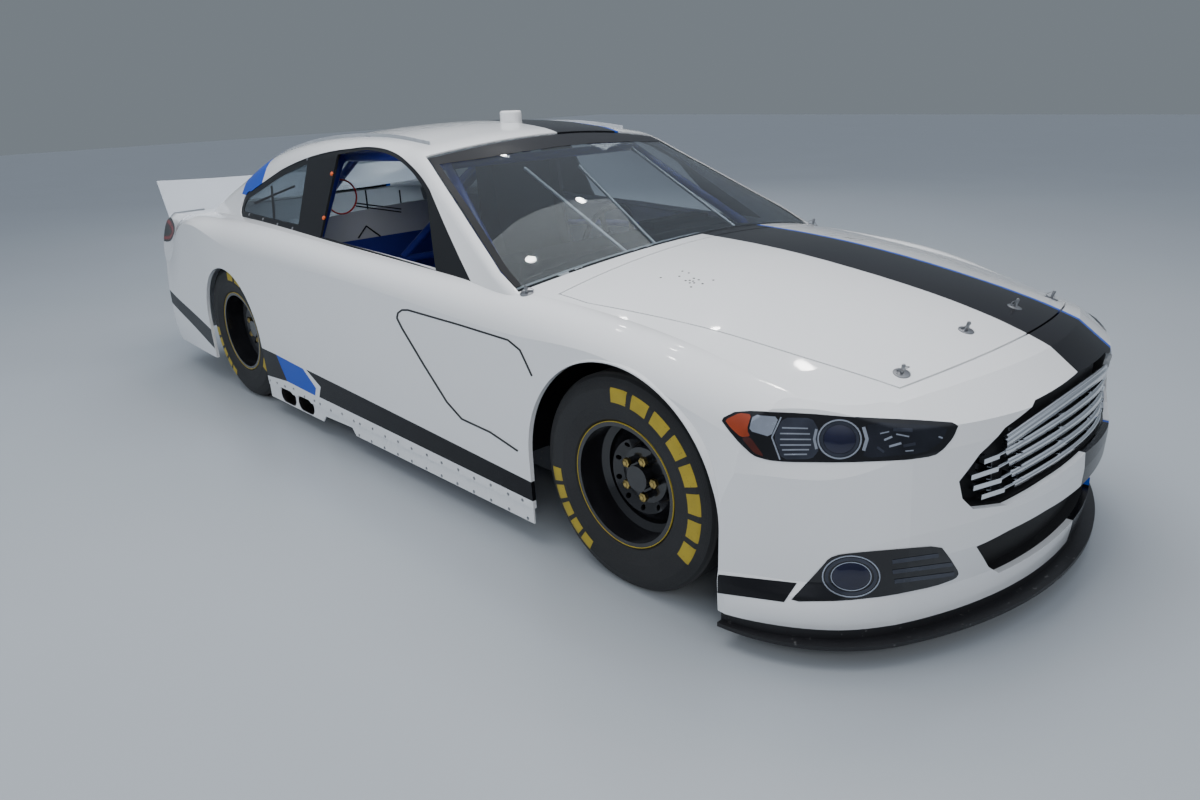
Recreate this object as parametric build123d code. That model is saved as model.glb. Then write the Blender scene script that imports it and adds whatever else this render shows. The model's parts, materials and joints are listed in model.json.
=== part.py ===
from build123d import *
from math import asin, atan2, cos, degrees, hypot, radians, sin, tan
import os

# Stock car. Millimetres, X forward, Y left, Z up, ground at Z = 0, origin mid-length under the car.
WHEELBASE = 2794.0
FRONT_OVERHANG = 1017.0
REAR_OVERHANG = 1153.0
WIDTH = 1956.0
TRACK = 1590.0
TYRE_RADIUS = 356.0
TYRE_WIDTH = 296.0
RIM_RADIUS = 190.5
RIM_WALL = 7.0

# Bodywork
SKIN = 18.0
GLASS_INSET = 5.0
GLASS_THICKNESS = 6.0
PANEL_GAP = 6.0
BODY_BOTTOM = 150.0
NOSE_BOTTOM = 105.0
SPLITTER_BOTTOM = 62.0
SPLITTER_PLATE = 13.0
SPLITTER_REACH = 36.0
FRONT_ARCH_RADIUS = 400.0
REAR_ARCH_RADIUS = 340.0

# Nose and tail in plan: a wide middle arc and two tight corner arcs
NOSE_RADIUS = 1450.0
NOSE_CORNER_RADIUS = 535.0
TAIL_RADIUS = 6000.0
TAIL_CORNER_RADIUS = 260.0

# Chassis
RAIL_WIDTH = 76.0
RAIL_HEIGHT = 102.0
RAIL_SPREAD = 1300.0
RAIL_BOTTOM = 130.0
CAGE_TUBE = 44.5
CAGE_BRACE = 38.0
CAGE_DOOR = 36.0
CAGE_LIGHT = 34.0
HUB_BOLT_CIRCLE = 127.0
STEER_OFFSET = 70.0
RUNNING_GAP = 0.3

HALF = WIDTH / 2
LENGTH = WHEELBASE + FRONT_OVERHANG + REAR_OVERHANG
FRONT_AXLE = LENGTH / 2 - FRONT_OVERHANG
REAR_AXLE = FRONT_AXLE - WHEELBASE
NOSE_TIP = LENGTH / 2 - SPLITTER_REACH
TAIL_TIP = -LENGTH / 2
FAR = 600.0

os.makedirs("parts", exist_ok=True)


def front(dx):
    return FRONT_AXLE + dx


def rear(dx):
    return REAR_AXLE + dx


def box(x, y, z):
    size = [hi - lo for lo, hi in (x, y, z)]
    return Pos((x[0] + x[1]) / 2, (y[0] + y[1]) / 2, (z[0] + z[1]) / 2) * Box(*size)


def rod(start, end, radius):
    a, b = Vector(*start), Vector(*end)
    plane = Plane(origin=a, z_dir=b - a)
    return extrude(plane * Circle(radius), (b - a).length)


def axle_rod(x, y, z, radius):
    return Pos(x, (y[0] + y[1]) / 2, z) * Rot(90, 0, 0) * Cylinder(radius, y[1] - y[0])


def tube_run(points, radius, bend=90.0):
    """Round bar along a run of points, bent to one radius at its corners."""
    if len(points) == 2:
        return rod(*points, radius)
    path = FilletPolyline(*points, radius=bend)
    return sweep(Plane(origin=path @ 0, z_dir=path % 0) * Circle(radius), path)


def join(shapes):
    result = shapes[0]
    if len(shapes) > 1:
        result = result.fuse(*shapes[1:])
    return result


def mirror_y(shape):
    return mirror(shape, Plane.XZ)


def clear_of(shape, others):
    """The piece notched where others pass through it."""
    for other in others:
        shape = shape - other
    return shape


# Body sections. Widths are insets from the half width, heights are from the ground.
# place, sill, side, shoulder, shoulder_z, edge, edge_z, crown_z
BODY_SECTIONS = [
    (rear(-1203), 53, 43, 48, 800, 178, 856, 880),
    (rear(-603), 28, 18, 22, 826, 143, 905, 938),
    (rear(0), 13, 3, 5, 831, 110, 930, 975),
    (rear(997), 13, 4, 7, 802, 100, 908, 975),
    (front(-797), 13, 6, 8, 772, 112, 882, 965),
    (front(-397), 13, 6, 10, 766, 135, 872, 955),
    (front(0), 12, 8, 12, 764, 163, 838, 928),
    (front(200), 12, 8, 14, 712, 170, 808, 903),
    (front(403), 14, 9, 40, 640, 178, 762, 872),
    (front(603), -8, -6, 60, 580, 178, 715, 832),
    (front(803), -12, -10, 78, 540, 178, 662, 774),
    (front(1063), -14, -12, 78, 470, 178, 560, 600),
]
BELOW = 200.0
SHOULDER_BULGE = 0.16


def body_section(row, inset):
    place, sill, side, shoulder, shoulder_z, edge, edge_z, crown_z = row
    bottom = NOSE_BOTTOM - (BELOW if inset else 0)
    ys, ym = HALF - sill - inset, HALF - side - inset
    yb, yc = HALF - shoulder - inset, HALF - edge - 0.8 * inset
    zb, zc, zd = shoulder_z - 0.4 * inset, edge_z - inset, crown_z - inset
    # Mid point of the shoulder arc, pushed out square to its chord
    rise, run = zc - zb, yb - yc
    bulge_y = (yb + yc) / 2 + SHOULDER_BULGE * rise
    bulge_z = (zb + zc) / 2 + SHOULDER_BULGE * run

    def at(y, z):
        return Vector(place, y, z)

    mid = (bottom + zb) / 2
    return Face(Wire([
        Line(at(-ys, bottom), at(ys, bottom)),
        ThreePointArc(at(ys, bottom), at(ym, mid), at(yb, zb)),
        ThreePointArc(at(yb, zb), at(bulge_y, bulge_z), at(yc, zc)),
        ThreePointArc(at(yc, zc), at(0, zd), at(-yc, zc)),
        ThreePointArc(at(-yc, zc), at(-bulge_y, bulge_z), at(-yb, zb)),
        ThreePointArc(at(-yb, zb), at(-ym, mid), at(-ys, bottom)),
    ]))


def blend(a, b, share):
    share = max(0.0, min(1.0, share))
    share = share * share * (3 - 2 * share)
    return a + (b - a) * share


# Side outline of the nose as inset and height, in the middle and at the corners below the lamps
NOSE_MIDDLE = [(6, NOSE_BOTTOM), (0, 150), (-2, 200), (-26, 320), (-28, 400), (-18, 500), (-6, 620), (6, 668),
               (345, 920)]
NOSE_CORNER = [(10, NOSE_BOTTOM), (0, 150), (8, 205), (30, 240), (31, 330), (33, 430), (36, 540), (95, 712),
               (425, 952)]
TAIL_OUTLINE = [(40, NOSE_BOTTOM), (14, 190), (0, 270), (2, 450), (14, 600), (38, 780), (48, 1100)]
CORNER_START = 20.0
CORNER_END = 55.0
SIDE_START = 62.0


def end_rows(rows, angle, inset):
    """One end outline, drawn flat towards the body's sides and set in by the inset."""
    fade = (abs(angle) - SIDE_START) / (90.0 - SIDE_START)
    rows = [(blend(d, 0.1 * d - 4, fade) + inset, z) for d, z in rows]
    if inset:
        rows[0] = (rows[0][0], NOSE_BOTTOM - BELOW)
    return rows


def nose_profile(angle, inset):
    """Outline of the nose seen from the side at one plan angle, as inset and height."""
    corner = (abs(angle) - CORNER_START) / (CORNER_END - CORNER_START)
    rows = [(blend(a[0], b[0], corner), blend(a[1], b[1], corner)) for a, b in zip(NOSE_MIDDLE, NOSE_CORNER)]
    return end_rows(rows, angle, inset)


def tail_profile(angle, inset):
    return end_rows(TAIL_OUTLINE, angle, inset)


def end_section(tip, way, wide, tight, half, profile, inset, angle, corner):
    """One upright section of what lies outside the nose or tail."""
    out = Vector(way * cos(radians(angle)), sin(radians(angle)))
    centre, radius = Vector(tip - way * wide, 0), wide
    if corner:
        reach = (wide - tight) * cos(asin((half - tight) / (wide - tight)))
        centre = Vector(tip - way * (wide - reach), half - tight if angle > 0 else tight - half)
        radius = tight
    rows = profile(angle, inset)
    points = [centre + out * (radius - d) + Vector(0, 0, z) for d, z in rows]
    far = [centre + out * (radius + FAR) + Vector(0, 0, z) for z in (rows[-1][1], rows[0][1])]
    edges = [ThreePointArc(*points[0:3])] + [Line(a, b) for a, b in zip(points[2:], points[3:])]
    edges += [Line(points[-1], far[0]), Line(far[0], far[1]), Line(far[1], points[0])]
    return Face(Wire(edges))


def end_cut(tip, way, wide, tight, half, profile, inset):
    """What lies outside the nose or tail: the profile swung along the middle arc and both corner arcs."""
    swing = degrees(asin((half - tight) / (wide - tight)))
    corner_angles = [swing + (90 - swing) * share / 5 for share in range(6)]
    runs = [([swing * share / 2 for share in (-2, -1, 0, 1, 2)], False), (corner_angles, True),
            ([-angle for angle in corner_angles], True)]
    lofts = []
    for angles, corner in runs:
        sections = [end_section(tip, way, wide, tight, half, profile, inset, angle, corner) for angle in angles]
        lofts.append(loft(sections))
    return join(lofts)


def arch_flare(x, side, inset):
    """Ring round a wheel arch that stands out where the body leans in."""
    lip, blend_out = HALF - 8 - inset, HALF - 60 - inset
    r0, r1 = FRONT_ARCH_RADIUS - 60, FRONT_ARCH_RADIUS + 4 - 0.5 * inset
    r2 = FRONT_ARCH_RADIUS + 40 - inset
    root = HALF - 200
    ring = make_face(Polyline((r0, root), (r0, lip), (r1, lip), (r2, blend_out), (r2, root), close=True))
    ring = Plane(origin=(x, 0, TYRE_RADIUS), x_dir=(1, 0, 0), z_dir=(0, 0, 1)) * ring
    ring = revolve(ring, Axis((x, 0, TYRE_RADIUS), (0, 1, 0)), 360)
    if side < 0:
        ring = mirror_y(ring)
    return ring & box((x - FAR, x + FAR), (-HALF, HALF), (NOSE_BOTTOM - (BELOW if inset else 0), 900))


def lower_body(inset):
    shape = loft([body_section(row, inset) for row in BODY_SECTIONS])
    flares = [arch_flare(FRONT_AXLE, side, inset) for side in (1, -1)]
    nose = end_cut(NOSE_TIP, 1, NOSE_RADIUS, NOSE_CORNER_RADIUS, HALF - 4, nose_profile, inset)
    tail = end_cut(TAIL_TIP, -1, TAIL_RADIUS, TAIL_CORNER_RADIUS, HALF - 14, tail_profile, inset)
    return (join([shape] + flares) - nose) - tail


# Cabin sections. base is the half width 780 above the ground, soft is the rounding of the rail.
# place, base, rail, rail_z, soft, crown_z
CABIN_SECTIONS = [
    (rear(-663), 795, 765, 860, 40, 925),
    (rear(-563), 812, 748, 930, 50, 980),
    (rear(-403), 850, 720, 1018, 60, 1060),
    (rear(-203), 880, 694, 1108, 70, 1138),
    (rear(-3), 900, 676, 1197, 80, 1222),
    (rear(297), 912, 668, 1270, 80, 1306),
    (rear(597), 916, 668, 1303, 80, 1350),
    (rear(897), 916, 668, 1315, 80, 1368),
    (rear(1197), 916, 668, 1305, 80, 1366),
    (front(-1457), 916, 670, 1292, 70, 1354),
    (front(-1317), 916, 684, 1268, 50, 1335),
    (front(-1197), 916, 716, 1210, 40, 1300),
    (front(-997), 914, 774, 1110, 36, 1222),
    (front(-797), 912, 832, 1010, 32, 1135),
    (front(-628), 910, 880, 925, 28, 1050),
    (front(-497), 905, 884, 858, 20, 985),
    (front(-387), 900, 880, 820, 16, 925),
]
CABIN_BASE = 780.0


def cabin_section(row, inset):
    place, base, rail, rail_z, soft, crown_z = row
    low = CABIN_BASE
    yb, yr = base - inset, rail - inset
    zr, zd = rail_z - inset, crown_z - inset
    down = hypot(yb - yr, zr - low)
    ya, za = yr + soft * (yb - yr) / down, zr - soft * (zr - low) / down
    # The crown as a parabola from the rail to the middle
    yc = yr - soft
    zc = zd - (zd - zr) * (yc / yr) ** 2
    ym, zm = (ya + yc + 2 * yr) / 4, (za + zc + 2 * zr) / 4

    def at(y, z):
        return Vector(place, y, z)

    return Face(Wire([
        Line(at(-yb, low), at(yb, low)),
        Line(at(yb, low), at(ya, za)),
        ThreePointArc(at(ya, za), at(ym, zm), at(yc, zc)),
        ThreePointArc(at(yc, zc), at(0, zd), at(-yc, zc)),
        ThreePointArc(at(-yc, zc), at(-ym, zm), at(-ya, za)),
        Line(at(-ya, za), at(-yb, low)),
    ]))


def cabin(inset):
    return loft([cabin_section(row, inset) for row in CABIN_SECTIONS])


body_outer = lower_body(0)
body_inner = lower_body(SKIN)
cabin_outer = cabin(0)
cabin_inner = cabin(SKIN)
roof_skin = cabin_outer - cabin_inner - body_outer


def keep(name, shape):
    shape.label = name
    export_step(shape, f"parts/{name}.step")


def plan_region(half, z0, z1, front_mid=None, rear_mid=None, grow=0.0):
    """Symmetric outline from its left half, listed front to rear, with optional arcs across its ends."""
    left = [(x, y) for x, y in half]
    right = [(x, -y) for x, y in half]
    edges = [Line(a, b) for a, b in zip(left, left[1:])] + [Line(a, b) for a, b in zip(right, right[1:])]
    for mid, a, b in ((front_mid, left[0], right[0]), (rear_mid, left[-1], right[-1])):
        edges.append(Line(a, b) if mid is None else ThreePointArc(a, (mid, 0), b))
    face = make_face(edges)
    if grow:
        face = offset(face, grow, kind=Kind.INTERSECTION)
    return Pos(0, 0, z0) * extrude(face, amount=z1 - z0, dir=(0, 0, 1))


# Panel seams
HOOD_REAR = front(-387)
DOOR_FRONT = front(-647)
DOOR_REAR = rear(677)
TAIL_SEAM = rear(-793)
LID_FRONT = rear(-672)
LID_REAR = rear(-1050)
LID_HALF = 640.0
COWL_HALF = 838.0
HOOD_EDGE = [(front(700), 594), (front(598), 616), (front(431), 653), (front(193), 705),
             (front(-257), 805), (HOOD_REAR, 805)]
HOOD_NOSE = front(793)
NOSE_SEAM = [(front(303), HALF + 60), (front(303), 900), (front(543), 628)]
TOP = 1600.0

hood_area = plan_region(HOOD_EDGE, 600, TOP, front_mid=HOOD_NOSE)
hood_hole = plan_region(HOOD_EDGE, 600, TOP, front_mid=HOOD_NOSE, grow=PANEL_GAP)
lid_area = box((LID_REAR, LID_FRONT), (-LID_HALF, LID_HALF), (600, TOP))
lid_hole = box((LID_REAR - PANEL_GAP, LID_FRONT + PANEL_GAP),
               (-LID_HALF - PANEL_GAP, LID_HALF + PANEL_GAP), (600, TOP))

# Wheel arches with open legs down to the ground

def arch_cut(x, radius):
    opening = axle_rod(x, (-FAR * 2, FAR * 2), TYRE_RADIUS, radius)
    legs = box((x - radius, x + radius), (-FAR * 2, FAR * 2), (-BELOW, TYRE_RADIUS))
    return opening + legs - box((x - FAR, x + FAR), (-HALF + 330, HALF - 330), (-FAR, FAR * 2))


# Grille mouth and lower inlet, in y and z
GRILLE_MOUTH = [(0, 688), (281, 677), (426, 636), (513, 583), (575, 520), (565, 470), (532, 433), (414, 415),
                (225, 435), (0, 449)]
LOWER_INLET = [(0, 342), (228, 342), (389, 332), (506, 314), (421, 217), (367, 178), (261, 180), (0, 186)]


def mouth(half, grow=0.0):
    outline = [(0, y, z) for y, z in half] + [(0, -y, z) for y, z in reversed(half[1:-1])]
    face = make_face(Polyline(*outline, close=True))
    if grow:
        face = offset(face, grow)
    return Pos(front(560), 0, 0) * extrude(face, amount=FAR, dir=(1, 0, 0))


body_skin = (body_outer - body_inner) - cabin_inner


def skin_in(region):
    """The body's wall inside one region."""
    return body_skin & region


def across(x0, x1, z0=BODY_BOTTOM):
    return box((x0, x1), (-WIDTH, WIDTH), (z0, TOP))


nose_outline = NOSE_SEAM + [(x, -y) for x, y in reversed(NOSE_SEAM)]
nose_outline += [(front(1300), -HALF - 60), (front(1300), HALF + 60)]
nose_zone = extrude(make_face(Polyline(*nose_outline, close=True)), amount=TOP, dir=(0, 0, 1))
front_arches = arch_cut(FRONT_AXLE, FRONT_ARCH_RADIUS)
rear_arches = arch_cut(REAR_AXLE, REAR_ARCH_RADIUS)

# Fuel filler cup in the left quarter, for the filling can's spout
FILLER_RADIUS = 45.0
FILLER_WALL = 8.0
FILLER_DEPTH = 60.0
FILLER_FACE = HALF - 7
FILLER_PLACE = (rear(-378), 735)


def filler_cup(panel):
    """The panel with a blind cup let into it, its rim flat and just proud of the skin."""
    x, z = FILLER_PLACE
    bottom = FILLER_FACE - FILLER_DEPTH
    cup = axle_rod(x, (bottom - FILLER_WALL, FILLER_FACE), z, FILLER_RADIUS + FILLER_WALL)
    return panel + cup - axle_rod(x, (bottom, HALF + FILLER_WALL), z, FILLER_RADIUS)


cowl_zone = box((DOOR_FRONT - 60, HOOD_REAR), (-COWL_HALF, COWL_HALF), (700, TOP))
deck_zone = box((LID_FRONT, rear(-300)), (-LID_HALF, LID_HALF), (700, TOP))

# Two oval exhaust outlets low in the right side
SKIRT_FACE = HALF - 18
OUTLET_PLACES = (rear(525), rear(710))
OUTLET_HEIGHT = 122.0
OUTLET_WIDE = 160.0
OUTLET_TALL = 78.0
OUTLET_WALL = 3.0
OUTLET_DEPTH = 130.0


def outlet(x, grow, y_out, y_in):
    """Oval bar through the right skirt."""
    oval = Plane(origin=(x, -y_out, OUTLET_HEIGHT), x_dir=(1, 0, 0), z_dir=(0, 1, 0))
    oval = oval * SlotOverall(OUTLET_WIDE + 2 * grow, OUTLET_TALL + 2 * grow)
    return extrude(oval, amount=y_out - y_in)


outlet_holes = [outlet(x, RUNNING_GAP, HALF + RUNNING_GAP, SKIRT_FACE - OUTLET_DEPTH) for x in OUTLET_PLACES]
hood = skin_in(hood_area)
decklid = skin_in(lid_area)
nose = skin_in(nose_zone) - hood_hole - mouth(GRILLE_MOUTH) - mouth(LOWER_INLET) - front_arches
cowl = skin_in(cowl_zone) - hood_hole
rear_deck = skin_in(deck_zone) - lid_hole
tail = skin_in(across(TAIL_TIP - 50, TAIL_SEAM)) - lid_hole
keep("nose", nose)
keep("cowl", cowl)
keep("rear_deck", rear_deck)
keep("tail", tail)
keep("hood", hood)
keep("decklid", decklid)
for side, name in ((1, "left"), (-1, "right")):
    outboard = box((TAIL_TIP - 50, NOSE_TIP + 50), sorted((0, side * WIDTH)), (0, TOP))
    fender = skin_in(across(DOOR_FRONT, front(560)) & outboard) - nose_zone - hood_hole
    fender = fender - cowl_zone - front_arches
    door = skin_in(across(DOOR_REAR, DOOR_FRONT) & outboard) - cowl_zone
    quarter = skin_in(across(TAIL_SEAM, DOOR_REAR) & outboard) - lid_hole - deck_zone - rear_arches
    keep(f"fender_{name}", fender)
    keep(f"door_{name}", door if side > 0 else clear_of(door, outlet_holes))
    keep(f"quarter_{name}", filler_cup(quarter) if side > 0 else clear_of(quarter, outlet_holes))


def path_face(points, place):
    """Closed face from points, where a third entry marks the middle of an arc."""
    spots = [(place(p[0], p[1]), len(p) > 2) for p in points]
    edges, i, count = [], 0, len(spots)
    while i < count:
        start, after = spots[i][0], spots[(i + 1) % count]
        if after[1]:
            edges.append(ThreePointArc(start, after[0], spots[(i + 2) % count][0]))
            i += 2
        else:
            edges.append(Line(start, after[0]))
            i += 1
    return make_face(edges)


def side_hole(points, side, inner=300.0):
    face = path_face(points, lambda x, z: (x, side * inner, z))
    return extrude(face, amount=FAR * 1.5, dir=(0, side, 0))


# Cabin openings in x and z, a third entry marks the middle of an arc
SIDE_OPENING = [
    (front(-724), 845), (front(-1190), 1160), (front(-1450), 1262, "mid"), (front(-1872), 1288),
    (rear(600), 1248, "mid"), (rear(292), 1174), (rear(-23), 1056), (rear(-93), 1003, "mid"),
    (rear(-53), 945), (rear(7), 915), (rear(7), 845),
]
DOOR_WINDOW = [
    (front(-1012), 888), (front(-1205), 1140), (front(-1452), 1246, "mid"), (front(-1880), 1272),
    (front(-1970), 1260), (front(-1925), 922),
]
QUARTER_WINDOW = [
    (rear(560), 1210), (rear(420), 1176, "mid"), (rear(262), 1128), (rear(-20), 1022),
    (rear(-52), 988, "mid"), (rear(-10), 958), (rear(640), 952),
]
WINDSHIELD_EDGE = [(front(-450), 874), (front(-628), 861), (front(-1317), 659)]
BACKLIGHT_EDGE = [(rear(197), 560), (rear(-483), 680)]
TRIM_INSET = 3.0
TRIM_THICKNESS = 9.0

# Round antenna dome on the roof
ANTENNA_RADIUS = 50.0
ANTENNA_HEIGHT = 66.0
ANTENNA_ROUND = 10.0
ANTENNA_TOP = 1416.0

windshield_area = plan_region(WINDSHIELD_EDGE, 700, TOP, front_mid=front(-300), rear_mid=front(-1271))
backlight_area = plan_region(BACKLIGHT_EDGE, 700, TOP, front_mid=rear(227), rear_mid=rear(-620))
side_areas = {side: side_hole(SIDE_OPENING, side) for side in (1, -1)}
door_holes = {side: side_hole(DOOR_WINDOW, side) for side in (1, -1)}
quarter_holes = {side: side_hole(QUARTER_WINDOW, side) for side in (1, -1)}

glass_shell = cabin(GLASS_INSET) - cabin(GLASS_INSET + GLASS_THICKNESS) - body_outer
trim_shell = cabin(TRIM_INSET) - cabin(TRIM_INSET + TRIM_THICKNESS) - body_outer
roof = roof_skin - windshield_area - backlight_area - side_areas[1] - side_areas[-1]
antenna = fillet(Cylinder(ANTENNA_RADIUS, ANTENNA_HEIGHT).edges().sort_by(Axis.Z)[-1], ANTENNA_ROUND)
antenna = Pos(rear(1209), 0, ANTENNA_TOP - ANTENNA_HEIGHT / 2) * antenna
keep("roof", roof + (antenna - cabin_inner))
keep("windshield", glass_shell & windshield_area)
keep("rear_window", glass_shell & backlight_area)
for side, name in ((1, "left"), (-1, "right")):
    keep(f"quarter_window_{name}", glass_shell & quarter_holes[side])
    keep(f"window_trim_{name}", (trim_shell & side_areas[side]) - door_holes[side] - quarter_holes[side])

# Skirts under the doors, between the wheels
SKIRT_FRONT = FRONT_AXLE - FRONT_ARCH_RADIUS - 8
SKIRT_REAR = rear(325)
SKIRT_THICKNESS = 6.0
SKIRT_LOW = 79.0
SKIRT_HIGH = 88.0
SKIRT_NOTCH = [(rear(869), SKIRT_LOW), (rear(897), 112), (rear(1142), 120), (rear(1171), SKIRT_HIGH)]


def skirt(side):
    outline = [(SKIRT_REAR, SKIRT_LOW)] + SKIRT_NOTCH
    outline += [(SKIRT_FRONT, SKIRT_HIGH), (SKIRT_FRONT, BODY_BOTTOM), (SKIRT_REAR, BODY_BOTTOM)]
    face = path_face(outline, lambda x, z: (x, side * SKIRT_FACE, z))
    plate = extrude(face, amount=SKIRT_THICKNESS, dir=(0, -side, 0))
    return plate if side > 0 else clear_of(plate, outlet_holes)


keep("skirt_left", skirt(1))
keep("skirt_right", skirt(-1))

# Splitter: a plate that follows the nose in plan, with a short wall up to the nose


def nose_plan(tip, wide, tight, half, z0, z1):
    """The nose outline in plan as a slab, back to the nose seam."""
    back = front(303)
    swing = asin((half - tight) / (wide - tight))
    cx, cy = tip - wide + (wide - tight) * cos(swing), half - tight
    turn = (swing + radians(90)) / 2
    meet = (cx + tight * cos(swing), cy + tight * sin(swing))
    edges = [ThreePointArc(meet, (tip, 0), (meet[0], -meet[1])), Line((back, half), (back, -half))]
    for s in (1, -1):
        middle = (cx + tight * cos(turn), s * (cy + tight * sin(turn)))
        edges.append(ThreePointArc((meet[0], s * meet[1]), middle, (cx, s * half)))
        edges.append(Line((cx, s * half), (back, s * half)))
    return Pos(0, 0, z0) * extrude(make_face(edges), amount=z1 - z0, dir=(0, 0, 1))


def nose_slab(shrink, z0, z1):
    wide, tight = NOSE_RADIUS - shrink, NOSE_CORNER_RADIUS - shrink
    return nose_plan(NOSE_TIP - shrink, wide, tight, HALF - 4 - shrink, z0, z1)


splitter = nose_plan(LENGTH / 2, NOSE_RADIUS, NOSE_CORNER_RADIUS, HALF, SPLITTER_BOTTOM,
                     SPLITTER_BOTTOM + SPLITTER_PLATE)
wall = nose_slab(10, SPLITTER_BOTTOM, NOSE_BOTTOM) - nose_slab(10 + SKIN, 0, TOP)
ahead = box((front(FRONT_ARCH_RADIUS + 8), LENGTH), (-WIDTH, WIDTH), (0, NOSE_BOTTOM))
keep("splitter", (splitter + wall) & ahead)


# Grille: bright bars arched in plan and in height, side stubs and upright ribs, over a dark backing.
# Each bar's middle and its left end as x, y, z from the wheelbase's middle, and its height
AXLES_MIDDLE = (FRONT_AXLE + REAR_AXLE) / 2
BARS = [
    ((2360, 0, 628), (2318, 400, 583), 21),
    ((2368, 0, 589), (2316, 386, 553), 16),
    ((2373, 0, 550), (2320, 372, 518), 17),
    ((2376, 0, 510), (2326, 358, 482), 16),
    ((2379, 0, 471), (2334, 348, 449), 12),
]
STUBS = [
    ((2310, 421, 552), (2293, 472, 548)),
    ((2312, 422, 516), (2281, 514, 513)),
    ((2319, 409, 480), (2287, 507, 481)),
    ((2326, 397, 449), (2300, 479, 449)),
]
BAR_DEPTH = 14.0
STUB_HEIGHT = 12.0
RIB_WIDTH = 6.0
# Each rib's place across the car, and the x and z of its foot and its head inside the bars
RIBS = [(120, (2367, 463), (2349, 630)), (330, (2331, 446), (2324, 602)), (440, (2305, 445), (2297, 555))]
BACKING_OUT = 46.0
BACKING_DEPTH = 8.0
BACKING_RIM = 9.0


def arc_bar(middle, end, height):
    """Bar swung about the centre of the arc from its middle to both ends."""
    drop, run, half = middle[2] - end[2], middle[0] - end[0], end[1]
    sagitta = hypot(run, drop)
    radius = (half ** 2 + sagitta ** 2) / (2 * sagitta)
    x, z = middle[0] + AXLES_MIDDLE, middle[2]
    centre = (x - radius * run / sagitta, 0, z - radius * drop / sagitta)
    section = Plane.XZ * Pos(x - BAR_DEPTH / 2, z) * Rectangle(BAR_DEPTH, height)
    swing = Axis(centre, (-drop, 0, run))
    half_bar = revolve(section, swing, degrees(asin(half / radius)))
    return half_bar + mirror_y(half_bar)


def stub_bar(start, end):
    a, b = (Vector(x + AXLES_MIDDLE - BAR_DEPTH / 2, y, z) for x, y, z in (start, end))
    plane = Plane(origin=a, x_dir=(0, 0, 1), z_dir=b - a)
    return extrude(plane * Rectangle(STUB_HEIGHT, BAR_DEPTH), (b - a).length)


def nose_ring(out, depth, z0, z1):
    """Strip of a ring about the middle arc's centre, out is its distance behind the nose tip."""
    outer = NOSE_RADIUS - out
    ring = Cylinder(outer, z1 - z0) - Cylinder(outer - depth, z1 - z0 + 2)
    return Pos(NOSE_TIP - NOSE_RADIUS, 0, (z0 + z1) / 2) * ring


def rib(y, foot, head):
    """Upright rib from the backing's face into the bars."""
    back = NOSE_TIP - 2 * NOSE_CORNER_RADIUS
    foot_x, head_x = foot[0] + AXLES_MIDDLE, head[0] + AXLES_MIDDLE
    places = [(back, foot[1]), (foot_x, foot[1]), (head_x, head[1]), (back, head[1])]
    face = path_face(places, lambda x, z: (x, y - RIB_WIDTH / 2, z))
    plate = extrude(face, amount=RIB_WIDTH, dir=(0, 1, 0))
    return plate - Pos(NOSE_TIP - NOSE_RADIUS, 0, 0) * Cylinder(NOSE_RADIUS - BACKING_OUT, FAR * 4)


def backing(half, z0, z1):
    """Dark plate behind an opening of the nose, with a rim forward to the nose's inside."""
    wide = mouth(half, BACKING_RIM)
    plate = nose_ring(BACKING_OUT, BACKING_DEPTH, z0, z1) & wide
    rim = nose_ring(0, BACKING_OUT, z0, z1) & (wide - mouth(half)) & body_inner
    return plate + rim


bars = [arc_bar(*bar) for bar in BARS]
ribs = []
for side in (1, -1):
    stubs = [stub_bar(*stub) for stub in STUBS]
    bars += stubs if side > 0 else [mirror_y(stub) for stub in stubs]
    ribs += [rib(side * y, foot, head) for y, foot, head in RIBS]
keep("grille_bars", join(bars + ribs))
backings = backing(GRILLE_MOUTH, 400, 700) + backing(LOWER_INLET, 160, 360)
keep("grille_backing", clear_of(backings, [nose]))

# Wheels and tyres
FLANGE_RADIUS = 206.0
BEAD_RADIUS = 214.0
DISC_DEPTH = 112.0
DISC_THICKNESS = 10.0
HUB_RADIUS = 42.0
ROTOR_RADIUS = 158.0
ROTOR_THICKNESS = 32.0
LUG_COUNT = 5
LUG_RADIUS = 12.0
HUB_DEPTH = 42.0
STUB_RADIUS = 33.0
HALF_TYRE = TYRE_WIDTH / 2
RIM_HALF = HALF_TYRE - 14
AXLES = {"front": FRONT_AXLE, "rear": REAR_AXLE}


def wheel_at(x, side, shape):
    """Places a wheel piece made on the Z axis with its outer face up."""
    return Pos(x, side * TRACK / 2, TYRE_RADIUS) * Rot(-side * 90, 0, 0) * shape


def turned(points):
    face = make_face(Polyline(*[(r, 0, z) for r, z in points], close=True))
    return revolve(face, Axis.Z, 360)


def tyre():
    h, r = HALF_TYRE, TYRE_RADIUS
    seat_radius = RIM_RADIUS + RIM_WALL
    outside = [(seat_radius, RIM_HALF - 6), (FLANGE_RADIUS + 1, RIM_HALF - 6), (BEAD_RADIUS, h - 10), (260, h),
               (r - 46, h - 2), (r - 12, h - 18), (r, h - 34)]
    inside = [(r - 16, h - 40), (r - 50, h - 14), (262, h - 12), (seat_radius, h - 40)]
    ring = outside + [(a, -b) for a, b in outside[::-1]] + [(a, -b) for a, b in inside[::-1]] + inside
    return turned(ring)


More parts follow.
